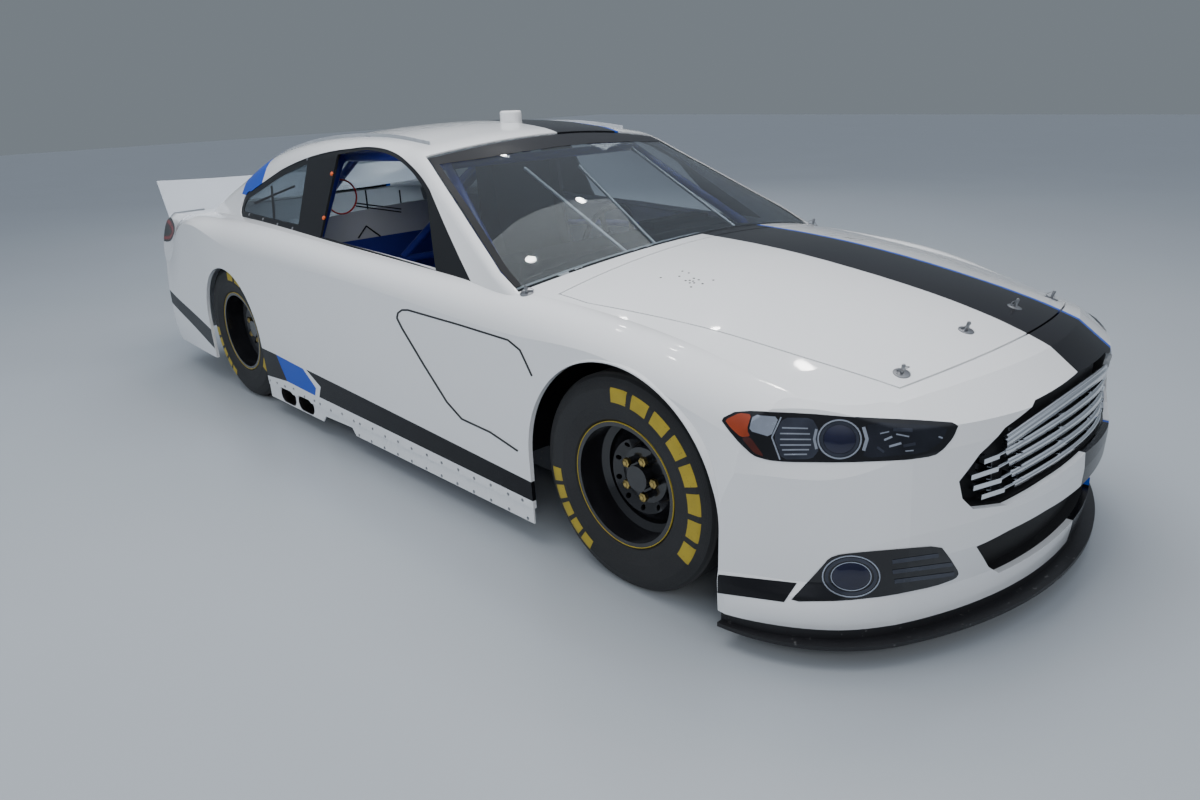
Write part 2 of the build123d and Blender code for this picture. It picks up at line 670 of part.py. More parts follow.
def wheel():
    barrel_out = RIM_RADIUS + RIM_WALL
    well = RIM_RADIUS - 24
    profile = [
        (FLANGE_RADIUS, RIM_HALF), (FLANGE_RADIUS, RIM_HALF - 6), (barrel_out, RIM_HALF - 6),
        (barrel_out, 34), (well + RIM_WALL, 22), (well + RIM_WALL, -40), (barrel_out, -52),
        (barrel_out, 6 - RIM_HALF), (FLANGE_RADIUS, 6 - RIM_HALF), (FLANGE_RADIUS, -RIM_HALF),
        (RIM_RADIUS, -RIM_HALF), (RIM_RADIUS, -56), (well, -44), (well, 26), (RIM_RADIUS, 38),
        (RIM_RADIUS, RIM_HALF),
    ]
    barrel = turned(profile)
    face_z = HALF_TYRE - DISC_DEPTH
    dish = turned([
        (HUB_RADIUS - 6, face_z), (92, face_z), (124, face_z + 16), (well + 1, face_z - 22),
        (well + 1, face_z - 34), (122, face_z + 6), (90, face_z - DISC_THICKNESS),
        (HUB_RADIUS - 6, face_z - DISC_THICKNESS),
    ])
    cap = Pos(0, 0, face_z + 10) * Cylinder(HUB_RADIUS, 56)
    hub = Pos(0, 0, face_z - HUB_DEPTH / 2) * Cylinder(78, HUB_DEPTH)
    body = barrel + dish + cap + hub
    for spot in PolarLocations(HUB_BOLT_CIRCLE / 2, LUG_COUNT):
        body = body + spot * Pos(0, 0, face_z + 8) * Cylinder(LUG_RADIUS, 26)
    for spot in PolarLocations(110, 10, start_angle=18):
        body = body - spot * Cylinder(9, 600)
    rotor_z = face_z - HUB_DEPTH - ROTOR_THICKNESS / 2
    rotor = Pos(0, 0, rotor_z) * (Cylinder(ROTOR_RADIUS, ROTOR_THICKNESS)
                                - Cylinder(STUB_RADIUS + RUNNING_GAP, ROTOR_THICKNESS + 2))
    return body + rotor


tyre_shape, wheel_shape = tyre(), wheel()
for end, x in AXLES.items():
    for side, name in ((1, "left"), (-1, "right")):
        keep(f"tyre_{end}_{name}", wheel_at(x, side, tyre_shape))
        keep(f"wheel_{end}_{name}", wheel_at(x, side, wheel_shape))

# Places across the car of the wheel's parts
DISC_FACE = TRACK / 2 + HALF_TYRE - DISC_DEPTH
ROTOR_INNER = DISC_FACE - HUB_DEPTH - ROTOR_THICKNESS
KINGPIN = TRACK / 2 - STEER_OFFSET
LOWER_BALL = 240.0
UPPER_BALL = 500.0
ARM_RADIUS = 11.0
BALL_HEIGHT = 22.0
UPRIGHT_HALF = 12.0
STUB_END = DISC_FACE - HUB_DEPTH - RUNNING_GAP


def knuckle(side):
    """Upright between the ball joints, with the stub axle, the caliper and the steering arm."""
    across = (KINGPIN - UPRIGHT_HALF, KINGPIN + UPRIGHT_HALF)
    low = LOWER_BALL + BALL_HEIGHT / 2 + RUNNING_GAP
    high = UPPER_BALL - BALL_HEIGHT / 2 - RUNNING_GAP
    upright = box((FRONT_AXLE - 30, FRONT_AXLE + 30), across, (low + 14, high - 14))
    plate = axle_rod(FRONT_AXLE, across, TYRE_RADIUS, 80)
    stub = axle_rod(FRONT_AXLE, (KINGPIN, STUB_END), TYRE_RADIUS, STUB_RADIUS)
    ends = [Pos(FRONT_AXLE, KINGPIN, z) * Cylinder(20, 30) for z in (low + 15, high - 15)]
    arm = box((FRONT_AXLE - 150, FRONT_AXLE), (KINGPIN - 10, KINGPIN + 10), (low + 14, low + 34))
    pad = box((front(60), front(130)), (KINGPIN - 8, ROTOR_INNER - 5), (TYRE_RADIUS - 60, TYRE_RADIUS + 60))
    reach = box((front(0), front(70)), (KINGPIN - 8, KINGPIN + UPRIGHT_HALF), (TYRE_RADIUS - 40, TYRE_RADIUS + 40))
    shape = join([upright, plate, stub] + ends + [arm, pad, reach])
    return shape if side > 0 else mirror_y(shape)


for side, name in ((1, "left"), (-1, "right")):
    keep(f"knuckle_{name}", knuckle(side))

# Frame rails, cross members and clips
SIDE_RAIL_FRONT = front(-560)
SIDE_RAIL_REAR = rear(440)
RAIL_MID = RAIL_BOTTOM + RAIL_HEIGHT / 2
CLIP_HALF_FRONT = 330.0
CLIP_HALF_REAR = 440.0
CLIP_SIZE = 64.0


def beam(points, y, width, height):
    """Rectangular tube along a run of points in x and z at one y."""
    pieces = [axle_rod(p[0], (y - width / 2, y + width / 2), p[1], height / 2) for p in points[1:-1]]
    for (x0, z0), (x1, z1) in zip(points, points[1:]):
        long = hypot(x1 - x0, z1 - z0)
        turn = -degrees(atan2(z1 - z0, x1 - x0))
        pieces.append(Pos((x0 + x1) / 2, y, (z0 + z1) / 2) * Rot(0, turn, 0) * Box(long, width, height))
    return join(pieces)


def strip(middle, width):
    return (middle - width / 2, middle + width / 2)


FRONT_CLIP = [(SIDE_RAIL_FRONT, RAIL_MID), (front(-430), RAIL_MID + 20), (front(-250), 330), (front(300), 330),
              (front(640), 300)]
REAR_CLIP = [(SIDE_RAIL_REAR, RAIL_MID), (rear(330), RAIL_MID + 30), (rear(170), 470), (rear(-230), 470),
             (rear(-420), 330), (rear(-960), 330)]
# Square cross tubes of the clips as place, half length and height
CLIP_CROSSES = [(front(620), CLIP_HALF_FRONT, 302), (front(-80), CLIP_HALF_FRONT, 240),
                (rear(-930), CLIP_HALF_REAR, 330)]
CROSS_SIZE = 50.0


def chassis():
    half = RAIL_SPREAD / 2
    rail_z = (RAIL_BOTTOM, RAIL_BOTTOM + RAIL_HEIGHT)
    wide = half + RAIL_WIDTH / 2
    pieces = []
    for x in (SIDE_RAIL_FRONT - 38, SIDE_RAIL_REAR + 38, (SIDE_RAIL_FRONT + SIDE_RAIL_REAR) / 2):
        pieces.append(box(strip(x, RAIL_WIDTH), (-wide, wide), rail_z))
    for x, half_width, z in CLIP_CROSSES:
        pieces.append(box(strip(x, CROSS_SIZE), (-half_width, half_width), strip(z, CROSS_SIZE)))
    for side in (1, -1):
        pieces.append(box((SIDE_RAIL_REAR, SIDE_RAIL_FRONT), strip(side * half, RAIL_WIDTH), rail_z))
        pieces.append(beam(FRONT_CLIP, side * CLIP_HALF_FRONT, CLIP_SIZE, CLIP_SIZE))
        pieces.append(beam(REAR_CLIP, side * CLIP_HALF_REAR, CLIP_SIZE, CLIP_SIZE))
        pieces.append(box(strip(front(-80), CROSS_SIZE), strip(side * CLIP_HALF_FRONT, CROSS_SIZE), (240, 330)))
        for x in (front(130), front(-130)):
            pieces.append(box(strip(x, 40), strip(side * CLIP_HALF_FRONT, 40), (330, 590)))
    return join(pieces)


# Floor, firewalls and tunnel, as sheet
FIREWALL = front(-640)
REAR_WALL = rear(420)
SHEET = 4.0
TUNNEL_HALF = 150.0
TUNNEL_TOP = 400.0
FLOOR_Z = RAIL_BOTTOM + RAIL_HEIGHT


def floor():
    wide = HALF - 60
    plate = box((REAR_WALL, FIREWALL), (-wide, wide), (FLOOR_Z, FLOOR_Z + SHEET))
    hump = box((REAR_WALL, FIREWALL), (-TUNNEL_HALF, TUNNEL_HALF), (FLOOR_Z, TUNNEL_TOP))
    hollow = box((REAR_WALL - 2 * SHEET, FIREWALL + 2 * SHEET), (SHEET - TUNNEL_HALF, TUNNEL_HALF - SHEET),
                 (FLOOR_Z - 1, TUNNEL_TOP - SHEET))
    walls = []
    for x in (FIREWALL, REAR_WALL - SHEET):
        walls.append(box((x, x + SHEET), (-HALF, HALF), (FLOOR_Z, TOP)) & body_inner)
    shelf = box((rear(-560), REAR_WALL), (-700, 700), (820, 820 + SHEET))
    return (join([plate, hump] + walls) - hollow) + shelf


# Roll cage: main hoop, roof bars, screen pillars and door bars, each tube notched round those before it
HOOP = rear(600)
HEADER = front(-1340)
POST = front(-760)
CAGE_FOOT = FLOOR_Z + SHEET / 2
DOOR_BAR_HEIGHTS = (360, 500, 640, 770)


def welded(runs, others=()):
    """Tubes in their order of welding, as points and outside diameter."""
    tubes = []
    for points, diameter in runs:
        tubes.append(clear_of(tube_run(points, diameter / 2), list(others) + tubes))
    return tubes


def cage_hoop():
    half = [(690, CAGE_FOOT), (720, 880), (560, 1222), (470, 1262)]
    hoop = [(HOOP, -y, z) for y, z in half] + [(HOOP, y, z) for y, z in reversed(half)]
    runs = [(hoop, CAGE_TUBE),
            ([(HOOP, -713, 700), (HOOP, 713, 700)], CAGE_BRACE),
            ([(HOOP, 470, 1258), (HOOP, -60, 871), (HOOP, -280, 711)], CAGE_BRACE)]
    for s in (1, -1):
        stay = [(HOOP, s * 430, 1258), (rear(-190), s * 440, 800), (rear(-200), s * 440, 490)]
        runs.append((stay, CAGE_BRACE))
    return welded(runs)


def cage_roof(hoop):
    runs = [([(HOOP, s * 530, 1233), (rear(1100), s * 545, 1252), (HEADER, s * 545, 1225)], CAGE_TUBE)
            for s in (1, -1)]
    runs.append(([(HEADER + 8, -540, 1225), (HEADER + 8, 540, 1225)], CAGE_BRACE))
    return welded(runs, hoop)


def cage_front(roof_bars):
    runs = [([(HEADER + 4, s * 545, 1225), (POST, s * 735, 860), (POST, s * 700, CAGE_FOOT)], CAGE_BRACE)
            for s in (1, -1)]
    runs.append(([(POST, -722, 780), (POST, 722, 780)], CAGE_LIGHT))
    for s in (1, -1):
        stay = [(POST, s * 420, 780), (FIREWALL + 40, s * 400, 720), (front(-300), s * 385, 645),
                (front(330), s * 350, 640), (front(575), s * (CLIP_HALF_FRONT + 2), 330)]
        runs.append((stay, CAGE_LIGHT))
    return welded(runs, roof_bars)


def cage_doors(hoop, posts):
    runs = []
    for s in (1, -1):
        for z in DOOR_BAR_HEIGHTS:
            runs.append(([(HOOP, s * 700, z), (rear(1000), s * 878, z), (front(-1150), s * 878, z),
                          (POST, s * 710, z)], CAGE_DOOR))
    return welded(runs, list(hoop) + list(posts))


# Seat, dash and steering wheel, driver on the left
SEAT_Y = 405.0
SEAT_X = rear(900)
SEAT_HALF = 235.0
SEAT_WALL = 22.0
COLUMN_TILT = 14.0
WHEEL_X = front(-1380)
WHEEL_Z = 790.0
DASH_REAR = front(-985)
DASH_HALF = 640.0


def seat():
    base_z = FLOOR_Z + SHEET
    outer = [(-150, base_z), (430, base_z), (470, 470), (60, 470), (-60, 860), (-90, 1130), (-230, 1130),
             (-210, 800)]
    inner = [(480, 400), (30, 360), (-110, 760), (-160, 1140), (480, 1140)]
    body = path_face(outer, lambda dx, z: (SEAT_X + dx, SEAT_Y - SEAT_HALF, z))
    hollow = path_face(inner, lambda dx, z: (SEAT_X + dx, SEAT_Y - SEAT_HALF + SEAT_WALL, z))
    body = extrude(body, amount=2 * SEAT_HALF, dir=(0, 1, 0))
    return body - extrude(hollow, amount=2 * (SEAT_HALF - SEAT_WALL), dir=(0, 1, 0))


def dash():
    outline = [(-830, 700), (-790, 900), (-960, 905), (-1010, 860), (-940, 700)]
    face = path_face(outline, lambda dx, z: (front(dx), -DASH_HALF, z))
    body = extrude(face, amount=2 * DASH_HALF, dir=(0, 1, 0))
    binnacle = box((front(-990), front(-900)), (SEAT_Y - 190, SEAT_Y + 190), (780, 930))
    return body + binnacle


def steering_wheel():
    ring = Torus(165, 14)
    hub = Cylinder(36, 30)
    spokes = [Rot(0, 0, a) * Pos(88, 0, 0) * Box(156, 26, 8) for a in (90, 210, 330)]
    shape = join([ring, hub] + spokes)
    return Pos(WHEEL_X, SEAT_Y, WHEEL_Z) * Rot(0, COLUMN_TILT - 90, 0) * shape


def steering_column():
    start = (WHEEL_X + 16 * cos(radians(COLUMN_TILT)), SEAT_Y, WHEEL_Z - 16 * sin(radians(COLUMN_TILT)))
    end = (DASH_REAR, SEAT_Y, start[2] - (DASH_REAR - start[0]) * tan(radians(COLUMN_TILT)))
    return rod(start, end, 20)


keep("seat", seat())
dash_panel = dash() + steering_column()
keep("dash", dash_panel)
keep("steering_wheel", steering_wheel())

# Engine, radiator, driveline and rear axle
SHAFT_Z = 330.0
AXLE_TUBE = 48.0
TRAILING_ARM_RADIUS = 26.0


def engine():
    block = box((front(-500), front(60)), (-230, 230), (272, 640))
    intake = box((front(-420), front(-20)), (-150, 150), (640, 760))
    return chamfer((block + intake).edges().filter_by(Axis.X), 20)


def radiator():
    """Core with an open duct ahead of it."""
    core = box((front(480), front(550)), (-296, 296), (345, 620))
    duct = box((front(550), front(690)), (-290, 290), (350, 615))
    return core + (duct - box((front(549), front(701)), (-282, 282), (358, 607)))


def driveline():
    gearbox = box((front(-1060), front(-500)), (-120, 120), (250, 320))
    shaft = rod((front(-1060), 0, 290), (rear(150), 0, SHAFT_Z), 40)
    return gearbox + shaft


def rear_axle():
    tube = axle_rod(REAR_AXLE, (18 - ROTOR_INNER, ROTOR_INNER - 18), TYRE_RADIUS, AXLE_TUBE)
    stubs = [axle_rod(REAR_AXLE, sorted((s * (ROTOR_INNER - 20), s * STUB_END)), TYRE_RADIUS, STUB_RADIUS)
             for s in (1, -1)]
    housing = axle_rod(REAR_AXLE, (-110, 110), TYRE_RADIUS, 130)
    pinion = rod((REAR_AXLE, 0, TYRE_RADIUS), (rear(150), 0, SHAFT_Z), 60)
    arms = []
    for s in (1, -1):
        run = [(rear(1500), s * 110, 160), (rear(500), s * 330, 170), (rear(40), s * 400, 310)]
        arms.append(tube_run(run, TRAILING_ARM_RADIUS))
    return join([tube, housing, pinion] + stubs + arms)


def front_suspension(side):
    ball_y = KINGPIN
    runs = []
    for way in (1, -1):
        for reach, rise, ball_z in ((130, 0, LOWER_BALL), (110, 20, UPPER_BALL)):
            pivot = (front(reach * way), CLIP_HALF_FRONT, ball_z + rise)
            runs.append(rod(pivot, (FRONT_AXLE, ball_y, ball_z), ARM_RADIUS))
    balls = [Pos(FRONT_AXLE, ball_y, z) * Cylinder(24, BALL_HEIGHT) for z in (LOWER_BALL, UPPER_BALL)]
    spring = rod((front(0), 540, LOWER_BALL), (front(0), 420, 560), 48)
    shape = join(runs + balls + [spring])
    return shape if side > 0 else mirror_y(shape)



# Exhaust: two oval outlets in the right skirt on round pipes, and the fuel cell behind the axle
PIPE_RADIUS = 38.0
PIPE_LANES = (560, 450)


def exhaust():
    pipes = []
    for x, lane in zip(OUTLET_PLACES, PIPE_LANES):
        mouth_y = SKIRT_FACE - OUTLET_DEPTH
        tip = outlet(x, 0, SKIRT_FACE, mouth_y - OUTLET_WALL)
        tip = tip - outlet(x, -OUTLET_WALL, SKIRT_FACE + 1, mouth_y)
        engine_end = (front(-560), -lane, OUTLET_HEIGHT + 10)
        bend = [(x, 1 - mouth_y, OUTLET_HEIGHT), (x, -lane, OUTLET_HEIGHT), engine_end]
        pipes.append(tip + tube_run(bend, PIPE_RADIUS))
    return join(pipes)


def fuel_cell():
    cell = box((rear(-900), rear(-460)), (-330, 330), (255, 620))
    return chamfer(cell.edges(), 12)


pipes = exhaust()
frame = clear_of(chassis(), [pipes])
floor_pan = clear_of(floor(), [frame])
engine_block = engine()
axle = rear_axle()
arms = {side: clear_of(front_suspension(side), [frame]) for side in (1, -1)}
keep("exhaust", pipes)
keep("chassis", frame)
keep("floor", floor_pan)
fixed = [frame, floor_pan, dash_panel]
hoop_tubes = cage_hoop()
roof_tubes = cage_roof(hoop_tubes)
front_tubes = cage_front(roof_tubes)
door_tubes = cage_doors(hoop_tubes, front_tubes)
cage = {"hoop": hoop_tubes, "roof": roof_tubes, "front": front_tubes, "doors": door_tubes}
for name, tubes in cage.items():
    keep(f"cage_{name}", Compound([part for tube in tubes for part in clear_of(tube, fixed).solids()]))
keep("fuel_cell", fuel_cell())
keep("engine", engine_block)
keep("radiator", clear_of(radiator(), [frame]))
keep("rear_axle", clear_of(axle, [frame]))
keep("driveline", clear_of(driveline(), [engine_block, axle]))
for side, name in ((1, "left"), (-1, "right")):
    keep(f"front_suspension_{name}", arms[side])

# Spoiler on the deck lid
SPOILER_HALF = 862.0
SPOILER_HEIGHT = 175.0
SPOILER_SHEET = 6.0
SPOILER_LEAN = 25.0


def spoiler():
    radius = TAIL_RADIUS
    foot_x = LID_REAR + 12
    ring = Cylinder(radius, SPOILER_HEIGHT + 80) - Cylinder(radius - SPOILER_SHEET, SPOILER_HEIGHT + 90)
    blade = Pos(radius, 0, (SPOILER_HEIGHT - 80) / 2) * ring
    blade = blade & box((-50, 300), (-SPOILER_HALF, SPOILER_HALF), (-80, SPOILER_HEIGHT))
    blade = Pos(foot_x, 0, 880) * Rot(0, -SPOILER_LEAN, 0) * blade
    deck = loft([body_section(row, -PANEL_GAP) for row in BODY_SECTIONS])
    touching = box((TAIL_TIP - 100, 0), (-LID_HALF, LID_HALF), (0, TOP))
    return (blade - deck) + ((blade & touching) - body_outer)


keep("spoiler", spoiler())
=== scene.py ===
import json
from math import ceil, cos, hypot, pi, radians, sin

import bpy
from mathutils import Matrix, Vector
from mathutils.bvhtree import BVHTree
from mathutils.geometry import delaunay_2d_cdt


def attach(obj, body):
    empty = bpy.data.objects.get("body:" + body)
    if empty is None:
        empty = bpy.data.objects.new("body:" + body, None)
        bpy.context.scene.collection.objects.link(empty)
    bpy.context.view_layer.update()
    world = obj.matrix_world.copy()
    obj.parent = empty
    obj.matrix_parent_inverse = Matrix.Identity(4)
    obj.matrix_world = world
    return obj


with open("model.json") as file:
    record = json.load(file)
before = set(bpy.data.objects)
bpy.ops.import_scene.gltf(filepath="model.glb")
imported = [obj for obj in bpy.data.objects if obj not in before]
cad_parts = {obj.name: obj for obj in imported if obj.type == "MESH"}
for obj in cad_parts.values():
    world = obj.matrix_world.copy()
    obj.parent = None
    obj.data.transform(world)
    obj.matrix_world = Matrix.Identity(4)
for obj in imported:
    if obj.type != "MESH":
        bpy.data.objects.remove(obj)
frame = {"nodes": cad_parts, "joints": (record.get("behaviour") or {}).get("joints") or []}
nodes = frame["nodes"]
collection = bpy.context.scene.collection
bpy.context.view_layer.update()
print("frame loaded:", len(nodes), "CAD nodes")

# The wheels' joints give both axles along the car, and the tyres' radius as their height, in metres
wheelPlaces = {joint["name"]: joint["pos_m"] for joint in frame["joints"]}
axles = {end: wheelPlaces[f"spin_{end}_right"][0] for end in ("front", "rear")}
tyreRadius = wheelPlaces["spin_front_right"][2]

# Places in millimetres are measured from the middle of the wheelbase, this far ahead of the origin
wheelbaseMiddle = round(500 * (axles["front"] + axles["rear"]), 3)


def place(x, y, z):
    return Vector(((x + wheelbaseMiddle) / 1000, y / 1000, z / 1000))


# Camera, in metres and degrees, with the focal length in pixels of the picture
photoCamera = {
    "place": (3.164, -2.643, 1.522),
    "yaw": 136.213,
    "pitch": -20.119,
    "roll": -2.018,
    "focal": 865.9,
    "picture": (1200, 800),
    "sensor": 36.0,
    "farthest": 100.0,
}


def cameraAxes(view):
    yaw, pitch, roll = (radians(view[key]) for key in ("yaw", "pitch", "roll"))
    ahead = Vector((cos(pitch) * cos(yaw), cos(pitch) * sin(yaw), sin(pitch)))
    level = ahead.cross(Vector((0, 0, 1))).normalized()
    lift = level.cross(ahead)
    right = cos(roll) * level + sin(roll) * lift
    up = -sin(roll) * level + cos(roll) * lift
    return ahead, right, up


def makeCamera(view):
    ahead, right, up = cameraAxes(view)
    data = bpy.data.cameras.new("photoCamera")
    data.sensor_width = view["sensor"]
    data.lens = view["sensor"] * view["focal"] / view["picture"][0]
    data.clip_end = view["farthest"]
    camera = bpy.data.objects.new("photoCamera", data)
    camera.matrix_world = Matrix((
        (right.x, up.x, -ahead.x, view["place"][0]),
        (right.y, up.y, -ahead.y, view["place"][1]),
        (right.z, up.z, -ahead.z, view["place"][2]),
        (0, 0, 0, 1),
    ))
    collection.objects.link(camera)
    bpy.context.scene.camera = camera


makeCamera(photoCamera)
print("camera placed")


# Shader helpers
def calc(tree, operation, *values):
    node = tree.nodes.new("ShaderNodeMath")
    node.operation = operation
    for index, value in enumerate(values):
        if isinstance(value, (int, float)):
            node.inputs[index].default_value = value
        else:
            tree.links.new(value, node.inputs[index])
    return node.outputs[0]


def times(tree, first, *others):
    for other in others:
        first = calc(tree, "MULTIPLY", first, other)
    return first


def largest(tree, first, *others):
    for other in others:
        first = calc(tree, "MAXIMUM", first, other)
    return first


def above(tree, value, limit):
    return calc(tree, "GREATER_THAN", value, limit)


def below(tree, value, limit):
    return calc(tree, "LESS_THAN", value, limit)


def between(tree, value, low, high):
    return times(tree, above(tree, value, low), below(tree, value, high))


# Distance from a centre in the plane of two coordinates
def reachFrom(tree, first, second, centre):
    squares = [calc(tree, "POWER", calc(tree, "SUBTRACT", value, middle), 2.0)
               for value, middle in zip((first, second), centre)]
    return calc(tree, "SQRT", calc(tree, "ADD", *squares))


# 1 inside a convex outline in x and z, listed either way round
def convexMask(tree, x, z, corners):
    area = sum(a[0] * b[1] - b[0] * a[1] for a, b in zip(corners, corners[1:] + corners[:1]))
    if area < 0:
        corners = corners[::-1]
    masks = []
    for (x0, z0), (x1, z1) in zip(corners, corners[1:] + corners[:1]):
        side = calc(tree, "MULTIPLY", x, z0 - z1)
        side = calc(tree, "MULTIPLY_ADD", z, x1 - x0, side)
        masks.append(above(tree, side, x0 * (z0 - z1) + z0 * (x1 - x0)))
    return times(tree, *masks)


def mixColour(tree, share, first, second):
    node = tree.nodes.new("ShaderNodeMix")
    node.data_type = "RGBA"
    for socket, value in ((0, share), (6, first), (7, second)):
        if isinstance(value, (int, float)):
            node.inputs[socket].default_value = value
        elif isinstance(value, tuple):
            node.inputs[socket].default_value = (*value, 1)
        else:
            tree.links.new(value, node.inputs[socket])
    return node.outputs[2]


def newGroup(name, inputs, outputs):
    tree = bpy.data.node_groups.new(name, "ShaderNodeTree")
    for label in inputs:
        tree.interface.new_socket(name=label, in_out="INPUT", socket_type="NodeSocketFloat")
    for label in outputs:
        tree.interface.new_socket(name=label, in_out="OUTPUT", socket_type="NodeSocketFloat")
    return tree, tree.nodes.new("NodeGroupInput"), tree.nodes.new("NodeGroupOutput")


def useGroup(tree, group, **values):
    node = tree.nodes.new("ShaderNodeGroup")
    node.node_tree = group
    for label, value in values.items():
        node.inputs[label].default_value = value
    return node.outputs


def newMaterial(name):
    material = bpy.data.materials.new(name)
    material.use_nodes = True
    tree = material.node_tree
    return material, tree, tree.nodes["Principled BSDF"]


def addBump(tree, surface, height, strength, depth):
    bump = tree.nodes.new("ShaderNodeBump")
    bump.inputs["Strength"].default_value = strength
    bump.inputs["Distance"].default_value = depth
    tree.links.new(height, bump.inputs["Height"])
    tree.links.new(bump.outputs[0], surface.inputs["Normal"])


def objectPlace(tree):
    return tree.nodes.new("ShaderNodeTexCoord").outputs["Object"]


def splitVector(tree, vector):
    node = tree.nodes.new("ShaderNodeSeparateXYZ")
    tree.links.new(vector, node.inputs[0])
    return node.outputs


# Wear on every finish: broad drift, fine grain and sparse specks, all from one scale
wear = {
    # scale, detail and roughness of each noise
    "noises": {"Broad": (1.0, 4.0, 0.55), "Fine": (38.0, 3.0, 0.6), "Specks": (9.0, 2.0, 0.7)},
    "speckLevel": 0.66,
    "speckContrast": 12.0,
}


def makeWear(settings):
    tree, given, result = newGroup("wearPattern", ["Scale"], ["Broad", "Fine", "Specks"])
    where = objectPlace(tree)
    for label, (factor, detail, rough) in settings["noises"].items():
        noise = tree.nodes.new("ShaderNodeTexNoise")
        tree.links.new(where, noise.inputs["Vector"])
        tree.links.new(calc(tree, "MULTIPLY", given.outputs["Scale"], factor), noise.inputs["Scale"])
        noise.inputs["Detail"].default_value = detail
        noise.inputs["Roughness"].default_value = rough
        value = noise.outputs[0]
        if label == "Specks":
            value = calc(tree, "SUBTRACT", value, settings["speckLevel"])
            value = calc(tree, "MULTIPLY", value, settings["speckContrast"])
            value = calc(tree, "MINIMUM", largest(tree, value, 0.0), 1.0)
        tree.links.new(value, result.inputs[label])
    return tree


# Black and blue paint over the white
decor = {
    "colours": {"Black": (0.007, 0.007, 0.009), "Blue": (0.010, 0.075, 0.50)},
    "coat": 0.03,
    # Bands on both sides, outboard of sideFrom in metres, as corners in x and z in millimetres
    "sideFrom": 0.80,
    "bands": {
        "Black": [
            [(-1140, 342), (-902, 336), (-835, 212), (-1140, 188)],
            [(-604, 322), (1010, 253), (1010, 222), (-485, 262)],
            [(-485, 262), (1010, 222), (1010, 180), (-517, 205)],
            [(-2420, 474), (-1740, 314), (-1740, 200), (-2420, 404)],
        ],
        "Blue": [
            [(-902, 336), (-634, 319), (-534, 245), (-557, 203), (-835, 212)],
        ],
    },
    # Stripe along the left half of the nose, hood and roof, in metres, with its blue edge, where the surface
    # faces upward by more than this sine
    "stripe": {"inner": 0.0, "outer": 0.375, "blueOuter": 0.400, "rearEnd": -2.42, "upward": -0.35},
    # The white lip under the grille and the white dome on the roof, which the stripe leaves out
    "lip": {"inner": 0.08, "top": 0.235},
    "dome": {"place": (-0.120, 0.0), "radius": 0.052},
    # Blue patch on each rear pillar
    "pillar": {"rear": -1.480, "front": -1.225, "low": 1.035, "inboard": 0.60},
}


def makeDecor(settings):
    tree, _, result = newGroup("paintDecor", [], ["Black", "Blue"])
    coords = tree.nodes.new("ShaderNodeTexCoord")
    x, y, z = splitVector(tree, coords.outputs["Object"])
    upward = splitVector(tree, coords.outputs["Normal"])[2]
    wide = calc(tree, "ABSOLUTE", y)
    stripe, lip, dome, pillar = (settings[key] for key in ("stripe", "lip", "dome", "pillar"))
    onTop = times(tree, above(tree, upward, stripe["upward"]), above(tree, x, stripe["rearEnd"]),
                  largest(tree, above(tree, z, lip["top"]), above(tree, y, lip["inner"])),
                  above(tree, reachFrom(tree, x, y, dome["place"]), dome["radius"]))
    onPillar = times(tree, between(tree, x, pillar["rear"], pillar["front"]), above(tree, z, pillar["low"]),
                     above(tree, wide, pillar["inboard"]))
    masks = {
        "Black": [times(tree, onTop, between(tree, y, stripe["inner"], stripe["outer"]))],
        "Blue": [times(tree, onTop, between(tree, y, stripe["outer"], stripe["blueOuter"])), onPillar],
    }
    onSide = above(tree, wide, settings["sideFrom"])
    for label, bands in settings["bands"].items():
        for band in bands:
            corners = [((x0 + wheelbaseMiddle) / 1000, z0 / 1000) for x0, z0 in band]
            masks[label].append(times(tree, onSide, convexMask(tree, x, z, corners)))
    for label, parts in masks.items():
        tree.links.new(largest(tree, *parts), result.inputs[label])
    return tree


wearPattern = makeWear(wear)
paintDecor = makeDecor(decor)

